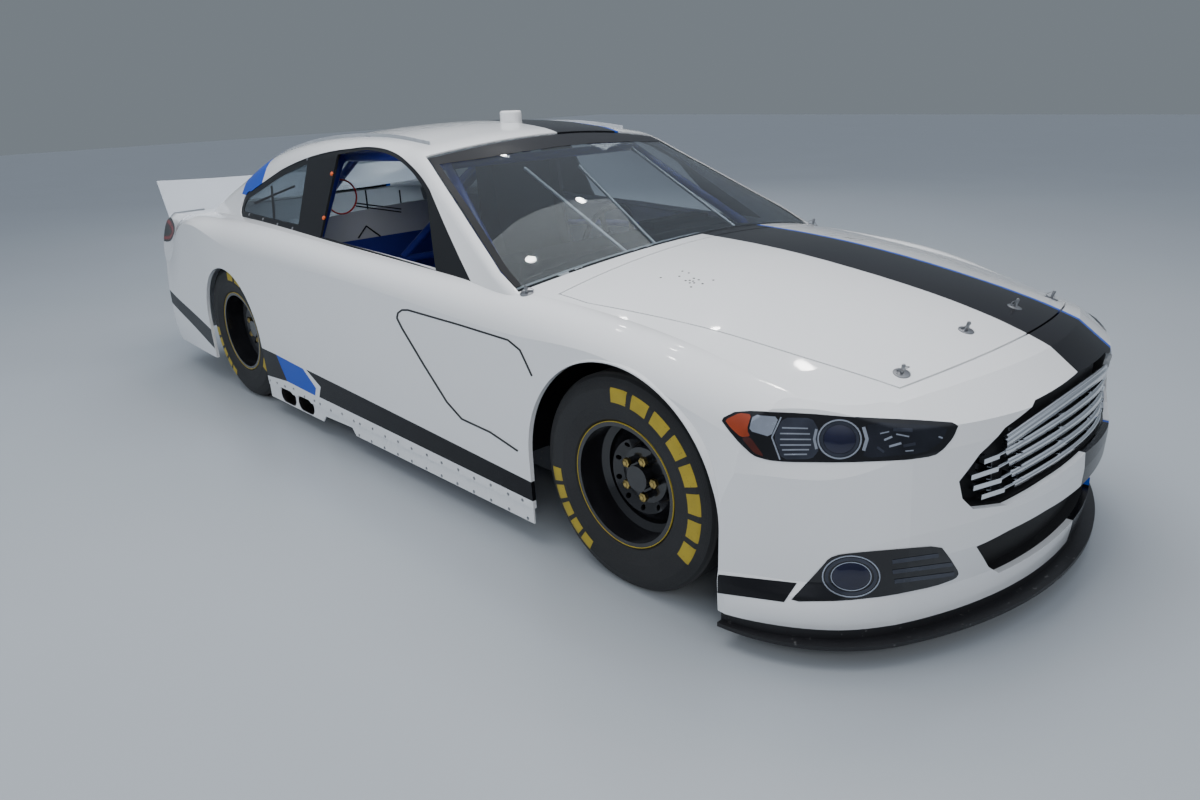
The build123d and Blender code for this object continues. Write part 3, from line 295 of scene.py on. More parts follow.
# Finishes: shift is the drift of the colour, rough the lowest and highest roughness, grain the strength of
# the bump and scale how fine the wear is
finishes = {
    "bodyPaint": {"colour": (0.84, 0.855, 0.875), "shift": 0.02, "rough": (0.16, 0.30), "coat": 1.0,
                  "specular": 0.18, "grain": 0.012, "scale": 2.2, "decor": True},
    "spoilerPaint": {"colour": (0.60, 0.65, 0.72), "shift": 0.04, "rough": (0.25, 0.40), "coat": 0.6,
                     "grain": 0.02, "scale": 3.0},
    "lampBlack": {"colour": (0.005, 0.005, 0.007), "shift": 0.3, "rough": (0.10, 0.22), "coat": 0.3,
                  "grain": 0.01, "scale": 9.0},
    "lampSilver": {"colour": (0.36, 0.40, 0.48), "shift": 0.3, "rough": (0.16, 0.34), "metallic": 0.5,
                   "coat": 0.5, "grain": 0.06, "scale": 16.0},
    "lampDim": {"colour": (0.040, 0.046, 0.066), "shift": 0.6, "rough": (0.14, 0.3), "metallic": 0.4,
                "coat": 0.4, "grain": 0.06, "scale": 14.0},
    "lampDeep": {"colour": (0.014, 0.016, 0.024), "shift": 0.8, "rough": (0.12, 0.26), "metallic": 0.3,
                 "coat": 0.3, "grain": 0.06, "scale": 14.0},
    "lampAmber": {"colour": (0.30, 0.040, 0.010), "shift": 0.3, "rough": (0.12, 0.25), "coat": 0.5,
                  "grain": 0.05, "scale": 20.0},
    "lampEmber": {"colour": (0.060, 0.010, 0.006), "shift": 0.4, "rough": (0.12, 0.25), "coat": 0.4,
                  "grain": 0.05, "scale": 20.0},
    "lampLens": {"colour": (0.005, 0.006, 0.026), "shift": 0.6, "rough": (0.03, 0.08), "coat": 0.6,
                 "grain": 0.004, "scale": 8.0},
    "lampRed": {"colour": (0.20, 0.006, 0.010), "shift": 0.3, "rough": (0.12, 0.25), "coat": 0.4,
                "grain": 0.03, "scale": 16.0},
    "vinylBlack": {"colour": (0.007, 0.007, 0.009), "shift": 0.2, "rough": (0.28, 0.42), "specular": 0.3,
                   "grain": 0.02, "scale": 6.0},
    "lineBlack": {"colour": (0.012, 0.012, 0.014), "shift": 0.2, "rough": (0.35, 0.5), "grain": 0.02,
                  "scale": 6.0},
    "trimBlack": {"colour": (0.012, 0.013, 0.015), "shift": 0.25, "rough": (0.34, 0.52), "specular": 0.35,
                  "grain": 0.05, "scale": 5.0},
    "plasticBlack": {"colour": (0.018, 0.018, 0.020), "shift": 0.3, "rough": (0.38, 0.6), "grain": 0.12,
                     "scale": 7.0},
    "splitterBlack": {"colour": (0.014, 0.014, 0.016), "shift": 0.35, "rough": (0.3, 0.62), "grain": 0.14,
                      "scale": 4.0, "specks": (0.10, 0.10, 0.10)},
    # The grille's chrome gets painted shade on the verticals behind its bars
    "grilleChrome": {"colour": (0.88, 0.90, 0.93), "shift": 0.06, "rough": (0.10, 0.22), "metallic": 1.0,
                     "grain": 0.02, "scale": 8.0, "ribs": True},
    "meshBlack": {"colour": (0.012, 0.012, 0.013), "shift": 0.4, "rough": (0.5, 0.75), "grain": 0.3,
                  "scale": 14.0},
    "cageBlue": {"colour": (0.025, 0.035, 0.33), "shift": 0.12, "rough": (0.25, 0.42), "coat": 0.4,
                 "grain": 0.05, "scale": 5.0},
    "sheetBlue": {"colour": (0.030, 0.040, 0.28), "shift": 0.18, "rough": (0.35, 0.55), "grain": 0.1,
                  "scale": 4.0, "paleRear": (0.50, 0.53, 0.57)},
    "frameGrey": {"colour": (0.055, 0.058, 0.065), "shift": 0.25, "rough": (0.35, 0.6), "grain": 0.1,
                  "scale": 5.0, "specks": (0.12, 0.10, 0.09)},
    "wheelBlack": {"colour": (0.010, 0.010, 0.012), "shift": 0.3, "rough": (0.14, 0.32), "coat": 0.7,
                   "grain": 0.04, "scale": 7.0},
    "steel": {"colour": (0.42, 0.42, 0.43), "shift": 0.15, "rough": (0.25, 0.45), "metallic": 1.0,
              "grain": 0.08, "scale": 9.0, "specks": (0.25, 0.22, 0.20)},
    "exhaustSteel": {"colour": (0.34, 0.32, 0.31), "shift": 0.25, "rough": (0.22, 0.48), "metallic": 1.0,
                     "grain": 0.1, "scale": 10.0, "specks": (0.16, 0.10, 0.07)},
    "castIron": {"colour": (0.11, 0.11, 0.12), "shift": 0.25, "rough": (0.5, 0.75), "metallic": 0.6,
                 "grain": 0.5, "scale": 9.0},
    "aluminium": {"colour": (0.55, 0.56, 0.58), "shift": 0.12, "rough": (0.25, 0.42), "metallic": 1.0,
                  "grain": 0.1, "scale": 8.0},
    "seatCloth": {"colour": (0.028, 0.028, 0.034), "shift": 0.3, "rough": (0.75, 0.95), "grain": 0.6,
                  "scale": 16.0},
    "brassNut": {"colour": (0.62, 0.46, 0.16), "shift": 0.15, "rough": (0.2, 0.4), "metallic": 1.0,
                 "grain": 0.06, "scale": 20.0},
    "yellowPaint": {"colour": (0.40, 0.30, 0.025), "shift": 0.3, "rough": (0.45, 0.65), "grain": 0.15,
                    "scale": 16.0, "specks": (0.10, 0.08, 0.03)},
    "redPlastic": {"colour": (0.5, 0.02, 0.015), "shift": 0.15, "rough": (0.25, 0.4), "coat": 0.5,
                   "grain": 0.05, "scale": 14.0},
    "orangePlastic": {"colour": (0.75, 0.12, 0.02), "shift": 0.12, "rough": (0.25, 0.4), "coat": 0.5,
                      "grain": 0.05, "scale": 14.0},
    "stripClear": {"colour": (0.40, 0.43, 0.47), "shift": 0.12, "rough": (0.2, 0.35), "coat": 0.6,
                   "grain": 0.03, "scale": 8.0},
    "dashBlack": {"colour": (0.005, 0.005, 0.006), "shift": 0.3, "rough": (0.75, 0.95), "specular": 0.1,
                  "grain": 0.15, "scale": 9.0},
    "deckPale": {"colour": (0.50, 0.53, 0.57), "shift": 0.1, "rough": (0.4, 0.6), "grain": 0.08,
                 "scale": 5.0},
    "dialFace": {"colour": (0.03, 0.03, 0.035), "shift": 0.3, "rough": (0.3, 0.45), "coat": 0.8,
                 "grain": 0.03, "scale": 20.0},
}
# What all finishes share, with the broad drift's part in the roughness
finishBase = {"bumpDepth": 0.002, "coatRough": 0.04, "broadShare": 0.6}
# The floor sheet is pale on the rear shelf, behind one line or above one height, and dark at the pedals
floorSheet = {"shelf": -0.8, "paleBehind": -0.920, "paleAbove": 0.805, "darkAhead": 0.780,
              "dark": (0.012, 0.012, 0.013)}
# Painted shade: the chrome verticals behind the grille bars are painted near black where they sit in shade,
# in metres: place across the car, and the middle and half height of each bar there
grilleRibShade = {
    "halfWidth": 0.009,
    "colour": (0.008, 0.008, 0.009),
    "places": [
        (0.120, [(0.624, 0.0125), (0.5855, 0.0105), (0.5467, 0.0105), (0.5069, 0.0100), (0.4684, 0.0085),
                 (0.643, 0.010)]),
        (0.330, [(0.5974, 0.0125), (0.5627, 0.0105), (0.5248, 0.0105), (0.4862, 0.0100), (0.4512, 0.0085),
                 (0.615, 0.010)]),
        (0.440, [(0.5500, 0.0085), (0.5154, 0.0085), (0.4803, 0.0085), (0.4490, 0.0085)]),
    ],
}


# 1 on the verticals between the bars that cross them, where the painted shade goes
def ribShadeMask(tree, settings):
    _, y, z = splitVector(tree, objectPlace(tree))
    wide = calc(tree, "ABSOLUTE", y)
    shadedUprights = []
    for across, crossings in settings["places"]:
        clear = between(tree, wide, across - settings["halfWidth"], across + settings["halfWidth"])
        for middle, half in crossings:
            offBar = calc(tree, "ABSOLUTE", calc(tree, "SUBTRACT", z, middle))
            clear = times(tree, clear, above(tree, offBar, half))
        shadedUprights.append(clear)
    return largest(tree, *shadedUprights)


def makeFinish(name, look):
    material, tree, surface = newMaterial(name)
    pattern = useGroup(tree, wearPattern, Scale=look["scale"])
    dark = tuple(value * (1 - look["shift"]) for value in look["colour"])
    light = tuple(min(1.0, value * (1 + look["shift"])) for value in look["colour"])
    colour = mixColour(tree, pattern["Broad"], dark, light)
    if "specks" in look:
        colour = mixColour(tree, pattern["Specks"], colour, look["specks"])
    coat = look.get("coat", 0.0)
    surface.inputs["Coat Weight"].default_value = coat
    if "decor" in look:
        masks = useGroup(tree, paintDecor)
        for label, tint in decor["colours"].items():
            colour = mixColour(tree, masks[label], colour, tint)
        plain = calc(tree, "SUBTRACT", 1.0, largest(tree, masks["Black"], masks["Blue"]))
        coat = calc(tree, "MULTIPLY_ADD", plain, coat - decor["coat"], decor["coat"])
        tree.links.new(coat, surface.inputs["Coat Weight"])
    if "paleRear" in look:
        x, _, z = splitVector(tree, objectPlace(tree))
        behind = below(tree, x, floorSheet["paleBehind"])
        pale = largest(tree, behind, above(tree, z, floorSheet["paleAbove"]))
        pale = times(tree, below(tree, x, floorSheet["shelf"]), pale)
        colour = mixColour(tree, pale, colour, look["paleRear"])
        colour = mixColour(tree, above(tree, x, floorSheet["darkAhead"]), colour, floorSheet["dark"])
    # Painted shade: the chrome verticals behind the bars are painted near black
    if "ribs" in look:
        colour = mixColour(tree, ribShadeMask(tree, grilleRibShade), colour, grilleRibShade["colour"])
    tree.links.new(colour, surface.inputs["Base Color"])
    low, high = look["rough"]
    fine = calc(tree, "MULTIPLY", pattern["Fine"], 1 - finishBase["broadShare"])
    drift = calc(tree, "MULTIPLY_ADD", pattern["Broad"], finishBase["broadShare"], fine)
    tree.links.new(calc(tree, "MULTIPLY_ADD", drift, high - low, low), surface.inputs["Roughness"])
    surface.inputs["Metallic"].default_value = look.get("metallic", 0.0)
    surface.inputs["Specular IOR Level"].default_value = look.get("specular", 0.5)
    surface.inputs["Coat Roughness"].default_value = finishBase["coatRough"]
    addBump(tree, surface, pattern["Fine"], look["grain"], finishBase["bumpDepth"])
    return material


windowGlass = {"tint": (0.50, 0.56, 0.60), "dimmed": 0.86, "rough": 0.012, "smear": 0.10, "bend": 1.42,
               "scale": 3.0}


def makeGlass(name, look):
    material, tree, surface = newMaterial(name)
    pattern = useGroup(tree, wearPattern, Scale=look["scale"])
    dimmed = tuple(value * look["dimmed"] for value in look["tint"])
    tree.links.new(mixColour(tree, pattern["Broad"], dimmed, look["tint"]), surface.inputs["Base Color"])
    rough = calc(tree, "MULTIPLY_ADD", pattern["Specks"], look["smear"], look["rough"])
    tree.links.new(rough, surface.inputs["Roughness"])
    surface.inputs["Transmission Weight"].default_value = 1.0
    surface.inputs["IOR"].default_value = look["bend"]
    return material


# Tyre rubber, with fine rings on its sides and a scuffed tread, by radius about the axle
rubber = {
    "scale": 5.0,
    "dark": (0.014, 0.014, 0.015),
    "light": (0.030, 0.030, 0.031),
    "scuffed": (0.055, 0.052, 0.050),
    "treadDepth": 0.005,
    "ringPitch": 0.0045,
    "ringBands": [(0.226, 0.248), (0.328, 0.342)],
    "rough": 0.5,
    "roughShift": 0.3,
    "ringShare": 0.5,
    "grainShare": 0.6,
    "grain": 0.25,
    "depth": 0.0015,
}


def makeRubber(name, axle, look):
    material, tree, surface = newMaterial(name)
    pattern = useGroup(tree, wearPattern, Scale=look["scale"])
    x, _, z = splitVector(tree, objectPlace(tree))
    reach = reachFrom(tree, x, z, (axle, tyreRadius))
    tread = above(tree, reach, tyreRadius - look["treadDepth"])
    waves = calc(tree, "SINE", calc(tree, "MULTIPLY", reach, 2 * pi / look["ringPitch"]))
    rings = times(tree, waves, largest(tree, *[between(tree, reach, *band) for band in look["ringBands"]]))
    colour = mixColour(tree, pattern["Broad"], look["dark"], look["light"])
    colour = mixColour(tree, times(tree, tread, pattern["Fine"]), colour, look["scuffed"])
    tree.links.new(colour, surface.inputs["Base Color"])
    rough = calc(tree, "MULTIPLY_ADD", pattern["Fine"], look["roughShift"], look["rough"])
    tree.links.new(rough, surface.inputs["Roughness"])
    grain = calc(tree, "MULTIPLY", pattern["Fine"], look["grainShare"])
    height = calc(tree, "MULTIPLY_ADD", rings, look["ringShare"], grain)
    addBump(tree, surface, height, look["grain"], look["depth"])
    return material


looks = {name: makeFinish(name, look) for name, look in finishes.items()}
looks["clearGlass"] = makeGlass("clearGlass", windowGlass)
for end, axle in axles.items():
    looks["rubber_" + end] = makeRubber("rubber_" + end, axle, rubber)

# Which finish each CAD node wears; a name that ends in _ takes every node that starts with it
dressing = {
    "bodyPaint": ["nose", "cowl", "rear_deck", "tail", "hood", "decklid", "roof", "fender_", "door_",
                  "quarter_left", "quarter_right", "skirt_"],
    "spoilerPaint": ["spoiler"],
    "clearGlass": ["windshield", "rear_window", "quarter_window_"],
    "trimBlack": ["window_trim_"],
    "splitterBlack": ["splitter"],
    "grilleChrome": ["grille_bars"],
    "meshBlack": ["grille_backing"],
    "cageBlue": ["cage_"],
    "sheetBlue": ["floor"],
    "dashBlack": ["dash"],
    "plasticBlack": ["steering_wheel"],
    "seatCloth": ["seat"],
    "frameGrey": ["chassis", "rear_axle", "fuel_cell"],
    "castIron": ["engine"],
    "aluminium": ["radiator"],
    "steel": ["driveline", "front_suspension_", "knuckle_"],
    "exhaustSteel": ["exhaust"],
    "wheelBlack": ["wheel_"],
    "rubber_front": ["tyre_front_"],
    "rubber_rear": ["tyre_rear_"],
}


def dress(piece, material):
    if piece.material_slots:
        for slot in piece.material_slots:
            slot.material = material
    else:
        piece.data.materials.append(material)


for look, names in dressing.items():
    for name in names:
        chosen = [node for node in nodes if node == name or (name.endswith("_") and node.startswith(name))]
        for node in chosen:
            dress(nodes[node], looks[look])
print("finishes made and CAD nodes dressed")


# Casting outlines onto the bodywork
surfaces = {}


def surfaceOf(names):
    key = tuple(names)
    if key not in surfaces:
        vertices, faces = [], []
        for name in names:
            mesh = nodes[name].data
            start = len(vertices)
            vertices += [vertex.co.copy() for vertex in mesh.vertices]
            faces += [tuple(index + start for index in face.vertices) for face in mesh.polygons]
        surfaces[key] = BVHTree.FromPolygons(vertices, faces)
    return surfaces[key]


# Each cast gives a ray's start and direction, from a pixel of the photograph or from two coordinates
cameraAhead, cameraRight, cameraUp = cameraAxes(photoCamera)
castFrom = {"right": -1500, "above": 2000, "rear": -3500}


def fromPhoto(u, v):
    across = (u - photoCamera["picture"][0] / 2) / photoCamera["focal"]
    down = (v - photoCamera["picture"][1] / 2) / photoCamera["focal"]
    way = cameraAhead + across * cameraRight - down * cameraUp
    return Vector(photoCamera["place"]), way.normalized()


def fromRight(x, z):
    return place(x, castFrom["right"], z), Vector((0, 1, 0))


def fromAbove(x, y):
    return place(x, y, castFrom["above"]), Vector((0, 0, -1))


def fromRear(y, z):
    return place(castFrom["rear"], y, z), Vector((1, 0, 0))


# Where one ray meets the named nodes, with the surface's direction there, or None
def touch(cast, on, u, v):
    start, way = cast(u, v)
    spot, normal, *_ = surfaceOf(on).ray_cast(start, way)
    if spot is None:
        return None
    return spot, -normal if normal.dot(way) > 0 else normal


def insideOutline(point, outline):
    inside = False
    for (x0, y0), (x1, y1) in zip(outline, outline[1:] + outline[:1]):
        if (y0 > point[1]) != (y1 > point[1]) and point[0] < (x1 - x0) * (point[1] - y0) / (y1 - y0) + x0:
            inside = not inside
    return inside


def edgeDistance(point, outline):
    distances = []
    for (x0, y0), (x1, y1) in zip(outline, outline[1:] + outline[:1]):
        dx, dy = x1 - x0, y1 - y0
        share = ((point[0] - x0) * dx + (point[1] - y0) * dy) / max(dx * dx + dy * dy, 1e-12)
        share = min(1.0, max(0.0, share))
        distances.append(hypot(point[0] - x0 - share * dx, point[1] - y0 - share * dy))
    return min(distances)


# Points along an outline, no further apart than the step
def divide(points, step, closed=True):
    ends = points[1:] + points[:1] if closed else points[1:]
    result = []
    for (x0, y0), (x1, y1) in zip(points, ends):
        count = max(1, ceil(hypot(x1 - x0, y1 - y0) / step))
        result += [(x0 + (x1 - x0) * i / count, y0 + (y1 - y0) * i / count) for i in range(count)]
    return result if closed else result + [points[-1]]


# Closed outline with its corners cut at a share of each side
def cutCorners(points, share):
    cut = []
    for (x0, y0), (x1, y1) in zip(points, points[1:] + points[:1]):
        cut.append((x0 + (x1 - x0) * share, y0 + (y1 - y0) * share))
        cut.append((x1 + (x0 - x1) * share, y1 + (y0 - y1) * share))
    return cut


# The faces turned to look back along the ray
def turnOut(vertices, faces, way):
    total = Vector((0, 0, 0))
    for face in faces:
        a, b, c = (vertices[i] for i in face[:3])
        total += (b - a).cross(c - a)
    if total.dot(way) > 0:
        faces = [tuple(reversed(face)) for face in faces]
    return vertices, faces


# Rows of points inside an outline, half a step apart from row to row, clear of its edge
def fillPoints(edge, step):
    rowHeight, clearance = step * 0.87, step * 0.4
    low = [min(p[i] for p in edge) for i in (0, 1)]
    high = [max(p[i] for p in edge) for i in (0, 1)]
    inner = []
    for row in range(int((high[1] - low[1]) / rowHeight) + 1):
        for column in range(int((high[0] - low[0]) / step) + 2):
            point = (low[0] + (column + 0.5 * (row % 2)) * step, low[1] + row * rowHeight)
            if insideOutline(point, edge) and edgeDistance(point, edge) > clearance:
                inner.append(point)
    return inner


# Vertices and triangles of an outline laid on the nodes, lift in millimetres, dome higher in its middle
def patch(outline, cast, on, lift, step, dome=0.0):
    edge = divide(outline, step)
    inner = fillPoints(edge, step)
    count = len(edge)
    loop = [(i, (i + 1) % count) for i in range(count)]
    flat, _, triangles, *_ = delaunay_2d_cdt([Vector(p) for p in edge + inner], loop, [], 1, 1e-7)
    widest = max([edgeDistance(p, edge) for p in inner] + [1e-6])
    vertices, kept = [], {}
    for index, point in enumerate(flat):
        hit = touch(cast, on, *point)
        if hit:
            rise = lift
            if dome:
                rise += dome * (1 - (1 - min(1.0, edgeDistance(point, edge) / widest)) ** 2)
            kept[index] = len(vertices)
            vertices.append(hit[0] + hit[1] * rise / 1000)
    faces = [tuple(kept[i] for i in face) for face in triangles if all(i in kept for i in face)]
    return turnOut(vertices, faces, cast(*outline[0])[1])


# Vertices and faces of a line of one width laid on the nodes
def ribbon(path, width, cast, on, lift, step, closed=False):
    points = divide(path, step, closed)
    vertices, rows = [], []
    count = len(points)
    for i, point in enumerate(points):
        before = points[i - 1] if (i or closed) else point
        after = points[(i + 1) % count] if (i < count - 1 or closed) else point
        dx, dy = after[0] - before[0], after[1] - before[1]
        long = max(hypot(dx, dy), 1e-9)
        half = width / 2
        hits = [touch(cast, on, point[0] - dy / long * half * s, point[1] + dx / long * half * s)
                for s in (-1, 0, 1)]
        if all(hits):
            rows.append([len(vertices) + k for k in range(3)])
            vertices += [hit[0] + hit[1] * lift / 1000 for hit in hits]
        else:
            rows.append(None)
    pairs = list(zip(rows, rows[1:] + rows[:1])) if closed else list(zip(rows, rows[1:]))
    faces = [(a[k], a[k + 1], b[k + 1], b[k]) for a, b in pairs if a and b for k in (0, 1)]
    return turnOut(vertices, faces, cast(*path[0])[1])


def mirrored(shape):
    vertices, faces = shape
    return [Vector((v.x, -v.y, v.z)) for v in vertices], [tuple(reversed(face)) for face in faces]


def together(shapes):
    vertices, faces = [], []
    for part, links in shapes:
        start = len(vertices)
        vertices += part
        faces += [tuple(i + start for i in face) for face in links]
    return vertices, faces


def both(shape):
    return together([shape, mirrored(shape)])


# Surface of revolution about Z, from radius and height, closed where the radius is 0
def lathe(profile, turns):
    vertices, rings = [], []
    for radius, height in profile:
        if radius == 0:
            rings.append([len(vertices)] * turns)
            vertices.append(Vector((0, 0, height)))
        else:
            rings.append([len(vertices) + i for i in range(turns)])
            vertices += [Vector((radius * cos(2 * pi * i / turns), radius * sin(2 * pi * i / turns), height))
                         for i in range(turns)]
    faces = []
    for low, high in zip(rings, rings[1:]):
        for i in range(turns):
            j = (i + 1) % turns
            face = [low[i], low[j], high[j], high[i]]
            unique = [v for k, v in enumerate(face) if v not in face[:k]]
            if len(unique) > 2:
                faces.append(tuple(unique))
    return vertices, faces


# The shape moved to a spot, with its Z along the normal
def standOn(shape, spot, normal):
    spin = normal.to_track_quat("Z", "Y").to_matrix()
    return [spin @ v + spot for v in shape[0]], shape[1]


# A turned profile on the nodes at every place where a ray meets them
def studs(stud, cast, on):
    shape = lathe(stud["profile"], stud["turns"])
    hits = [touch(cast, on, *spot) for spot in stud["places"]]
    return together([standOn(shape, *hit) for hit in hits if hit])


def ridePiece(name, data, look, body):
    data.materials.append(looks[look])
    piece = bpy.data.objects.new(name, data)
    collection.objects.link(piece)
    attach(piece, body)


def addPiece(name, shape, look, body="body", smooth=True):
    mesh = bpy.data.meshes.new(name)
    mesh.from_pydata([tuple(v) for v in shape[0]], [], shape[1])
    mesh.polygons.foreach_set("use_smooth", [smooth] * len(mesh.polygons))
    ridePiece(name, mesh, look, body)


tubeDetail = {"round": 2, "order": 3, "pieces": 6}


# Thin round bars along paths of places, in metres
def addTubes(name, paths, radius, look, body="body", smooth=False):
    data = bpy.data.curves.new(name, "CURVE")
    data.dimensions = "3D"
    data.bevel_depth = radius
    data.bevel_resolution = tubeDetail["round"]
    data.use_fill_caps = True
    for path in paths:
        spline = data.splines.new("NURBS" if smooth else "POLY")
        spline.points.add(len(path) - 1)
        for point, spot in zip(spline.points, path):
            point.co = (*spot, 1)
        if smooth:
            spline.order_u = tubeDetail["order"]
            spline.use_endpoint_u = True
            spline.resolution_u = tubeDetail["pieces"]
    ridePiece(name, data, look, body)


# Head lamps: flat printed lamps with a clear gloss, in pixels of the photograph
noseSide = ["nose", "fender_right"]
headLamp = {
    "outline": [(720.5, 419), (737.7, 410.5), (804.5, 413.2), (854, 417.2), (919, 420.2), (959, 423.1),
                (953.4, 437), (943.8, 448.7), (934, 455.8), (903.7, 460.2), (842.7, 462.6), (785.4, 462),
                (768.2, 460.2), (753, 455.6), (739.6, 443), (728.2, 429.6)],
    "patches": [
        ("lampAmber", [(725, 420), (739.6, 413), (751.5, 414.6), (747, 429.8), (750, 436), (741, 437),
                       (731, 428)]),
        ("lampEmber", [(741, 437.5), (750, 436.5), (764.5, 457), (754, 453)]),
        ("lampSilver", [(753.5, 414.8), (779, 416.8), (770.6, 437), (748.6, 430.4)]),
        ("lampDim", [(783, 417.5), (812, 418), (819, 430), (819, 450), (812, 459), (782, 459.5),
                     (773.5, 437)]),
        ("lampDeep", [(867, 422), (948, 426.5), (941, 442), (924, 453), (862, 458.5), (868, 440)]),
    ],
    # finish, width and path of each line
    "lines": [
        ("lampSilver", 1.5, [(781, 417), (771.8, 437.2), (780, 459.5)]),
        ("lampSilver", 1.4, [(782, 427.7), (808, 428.4)]), ("lampSilver", 1.4, [(780, 433.4), (810, 433.9)]),
        ("lampSilver", 1.4, [(780, 439.2), (811, 439.4)]), ("lampSilver", 1.4, [(780, 444.9), (811, 444.9)]),
        ("lampSilver", 1.4, [(782, 449.8), (809, 449.6)]), ("lampSilver", 1.4, [(784, 454.4), (807, 454.2)]),
        ("lampSilver", 2.0, [(884, 440), (892, 436.5)]), ("lampSilver", 1.4, [(896, 434), (909, 436.5)]),
        ("lampSilver", 2.2, [(889, 446.5), (901, 443)]), ("lampDim", 3.0, [(903, 446), (915, 443.5)]),
        ("lampSilver", 1.2, [(880, 433.5), (889, 431.5)]), ("lampDim", 3.2, [(893, 429.5), (912, 430.5)]),
        ("lampSilver", 1.1, [(905, 451), (913, 450.3)]), ("lampDim", 2.4, [(877, 447), (884, 452)]),
        ("lampSilver", 1.6, [(938, 436.5), (942, 438)]),
        ("lampSilver", 2.6, [(816.5, 429), (814.2, 439), (816.5, 449)]),
        ("lampSilver", 3.4, [(863.5, 427), (867, 439), (863.5, 450.5)]),
    ],
    # finish, line width, centre, half width and half height of each ring, and the same of the lens
    "rings": [("lampSilver", 1.6, (839.6, 439.2), 21.5, 19.2), ("lampDim", 3.0, (839.6, 439.2), 18.2, 16.2)],
    "lens": ("lampLens", (839.6, 439.2), 16.2, 14.4),
}
# Fog lamps in their dark housings
fogLamp = {
    "outline": [(789.2, 601.6), (800.7, 589.5), (819.8, 568.6), (829.3, 557.5), (840.8, 553.7),
                (888.5, 549.4), (940, 545.3), (949.5, 557.5), (959, 572.7), (955.3, 578.5), (934.3, 586.1),
                (888.5, 595.6), (842.7, 600.9)],
    "patches": [],
    "lines": [
        ("lampDim", 4.0, [(892, 561.5), (938, 554.8)]), ("lampDim", 4.0, [(892.3, 571.5), (952, 563.6)]),
        ("lampDim", 4.0, [(894.2, 581), (954, 573.3)]),
        ("lampSilver", 1.0, [(846, 571), (851, 567), (858, 568)]),
        ("lampSilver", 1.0, [(842, 581), (851, 585)]),
    ],
    "rings": [("lampSilver", 1.3, (851, 576), 28.5, 20.5), ("lampDim", 3.2, (851, 576), 24.5, 17.5),
              ("lampSilver", 0.9, (851, 576), 20.0, 14.2)],
    "lens": ("lampLens", (851, 576), 19.0, 13.6),
}
# Lift of each layer in millimetres and its step in pixels
lampLayers = {
    "housing": {"lift": 1.6, "step": 1.7},
    "patches": {"lift": 2.1, "step": 1.7},
    "lines": {"lift": 2.7, "step": 1.7},
    "rings": {"lift": 2.9, "step": 2.0, "closed": True},
    "lens": {"lift": 2.2, "step": 2.0, "dome": 9.0},
}
cornerCuts = {"housing": 0.18, "patches": 0.15}


def oval(centre, wide, tall, count=32):
    return [(centre[0] + wide * cos(2 * pi * i / count), centre[1] + tall * sin(2 * pi * i / count))
            for i in range(count)]


# Every layer of one lamp, as one piece for each finish, on both sides
def addLamps(name, lamp, on):
    def layOutline(outline, layer):
        return patch(cutCorners(outline, cornerCuts[layer]), fromPhoto, on, **lampLayers[layer])

    def layLine(path, width, layer):
        return ribbon(path, width, fromPhoto, on, **lampLayers[layer])

    made = [("lampBlack", layOutline(lamp["outline"], "housing"))]
    made += [(look, layOutline(outline, "patches")) for look, outline in lamp["patches"]]
    made += [(look, layLine(line, width, "lines")) for look, width, line in lamp["lines"]]
    made += [(look, layLine(oval(*ring), width, "rings")) for look, width, *ring in lamp["rings"]]
    look, *lens = lamp["lens"]
    made.append((look, patch(oval(*lens), fromPhoto, on, **lampLayers["lens"])))
    for look in dict.fromkeys(look for look, shape in made):
        shapes = [shape for finish, shape in made if finish == look]
        addPiece(f"{name}_{look}", both(together(shapes)), look)


addLamps("head_lamps", headLamp, noseSide)
print("head lamps made")
addLamps("fog_lamps", fogLamp, noseSide)

# Black bands beside the fog lamps, in pixels
lipBand = {"outline": [(714.5, 573.8), (797, 583), (784, 602), (714.5, 592.4)], "lift": 1.4, "step": 1.2}
shape = patch(lipBand["outline"], fromPhoto, noseSide, lipBand["lift"], lipBand["step"])
addPiece("lip_bands", both(shape), "vinylBlack")
print("fog lamps made")

# Thin black outline on the front of each door, in pixels
doorOutline = {
    "lines": [
        [(397, 318), (398, 313), (402, 310), (408, 310), (460, 325), (508, 340), (520, 350), (527, 365),
         (532, 376)],
        [(397, 318), (402, 328), (424, 365), (447, 402), (462, 419), (490, 432), (518, 451)],
    ],
    "width": 1.9,
    "lift": 0.9,
    "step": 3.0,
}


def layLines(settings, cast, on):
    return together([ribbon(line, settings["width"], cast, on, settings["lift"], settings["step"])
                     for line in settings["lines"]])


addPiece("door_outlines", both(layLines(doorOutline, fromPhoto, ["door_right", "fender_right"])), "lineBlack")

# Rivets along the lower edge of each side, in x and z
rivet = {
    "profile": [(0, 0.0032), (0.0035, 0.0028), (0.0058, 0.0014), (0.0066, 0), (0.0066, -0.002)],
    "turns": 10,
    "places": [(-1040, 172), (-960, 176), (-874, 177), (-779, 186), (-674, 170), (-575, 173), (-522, 170),
               (-424, 162), (-318, 172), (-218, 164), (-166, 163), (-60, 168), (39, 160), (140, 164),
               (240, 162), (350, 166), (450, 162), (560, 166), (660, 162), (760, 166), (860, 163),
               (940, 166)] + [(x, 98) for x in range(-200, 960, 105)],
}
shape = studs(rivet, fromRight, ["door_right", "quarter_right", "fender_right", "skirt_right"])
addPiece("skirt_rivets", both(shape), "steel")
print("side lines and rivets made")

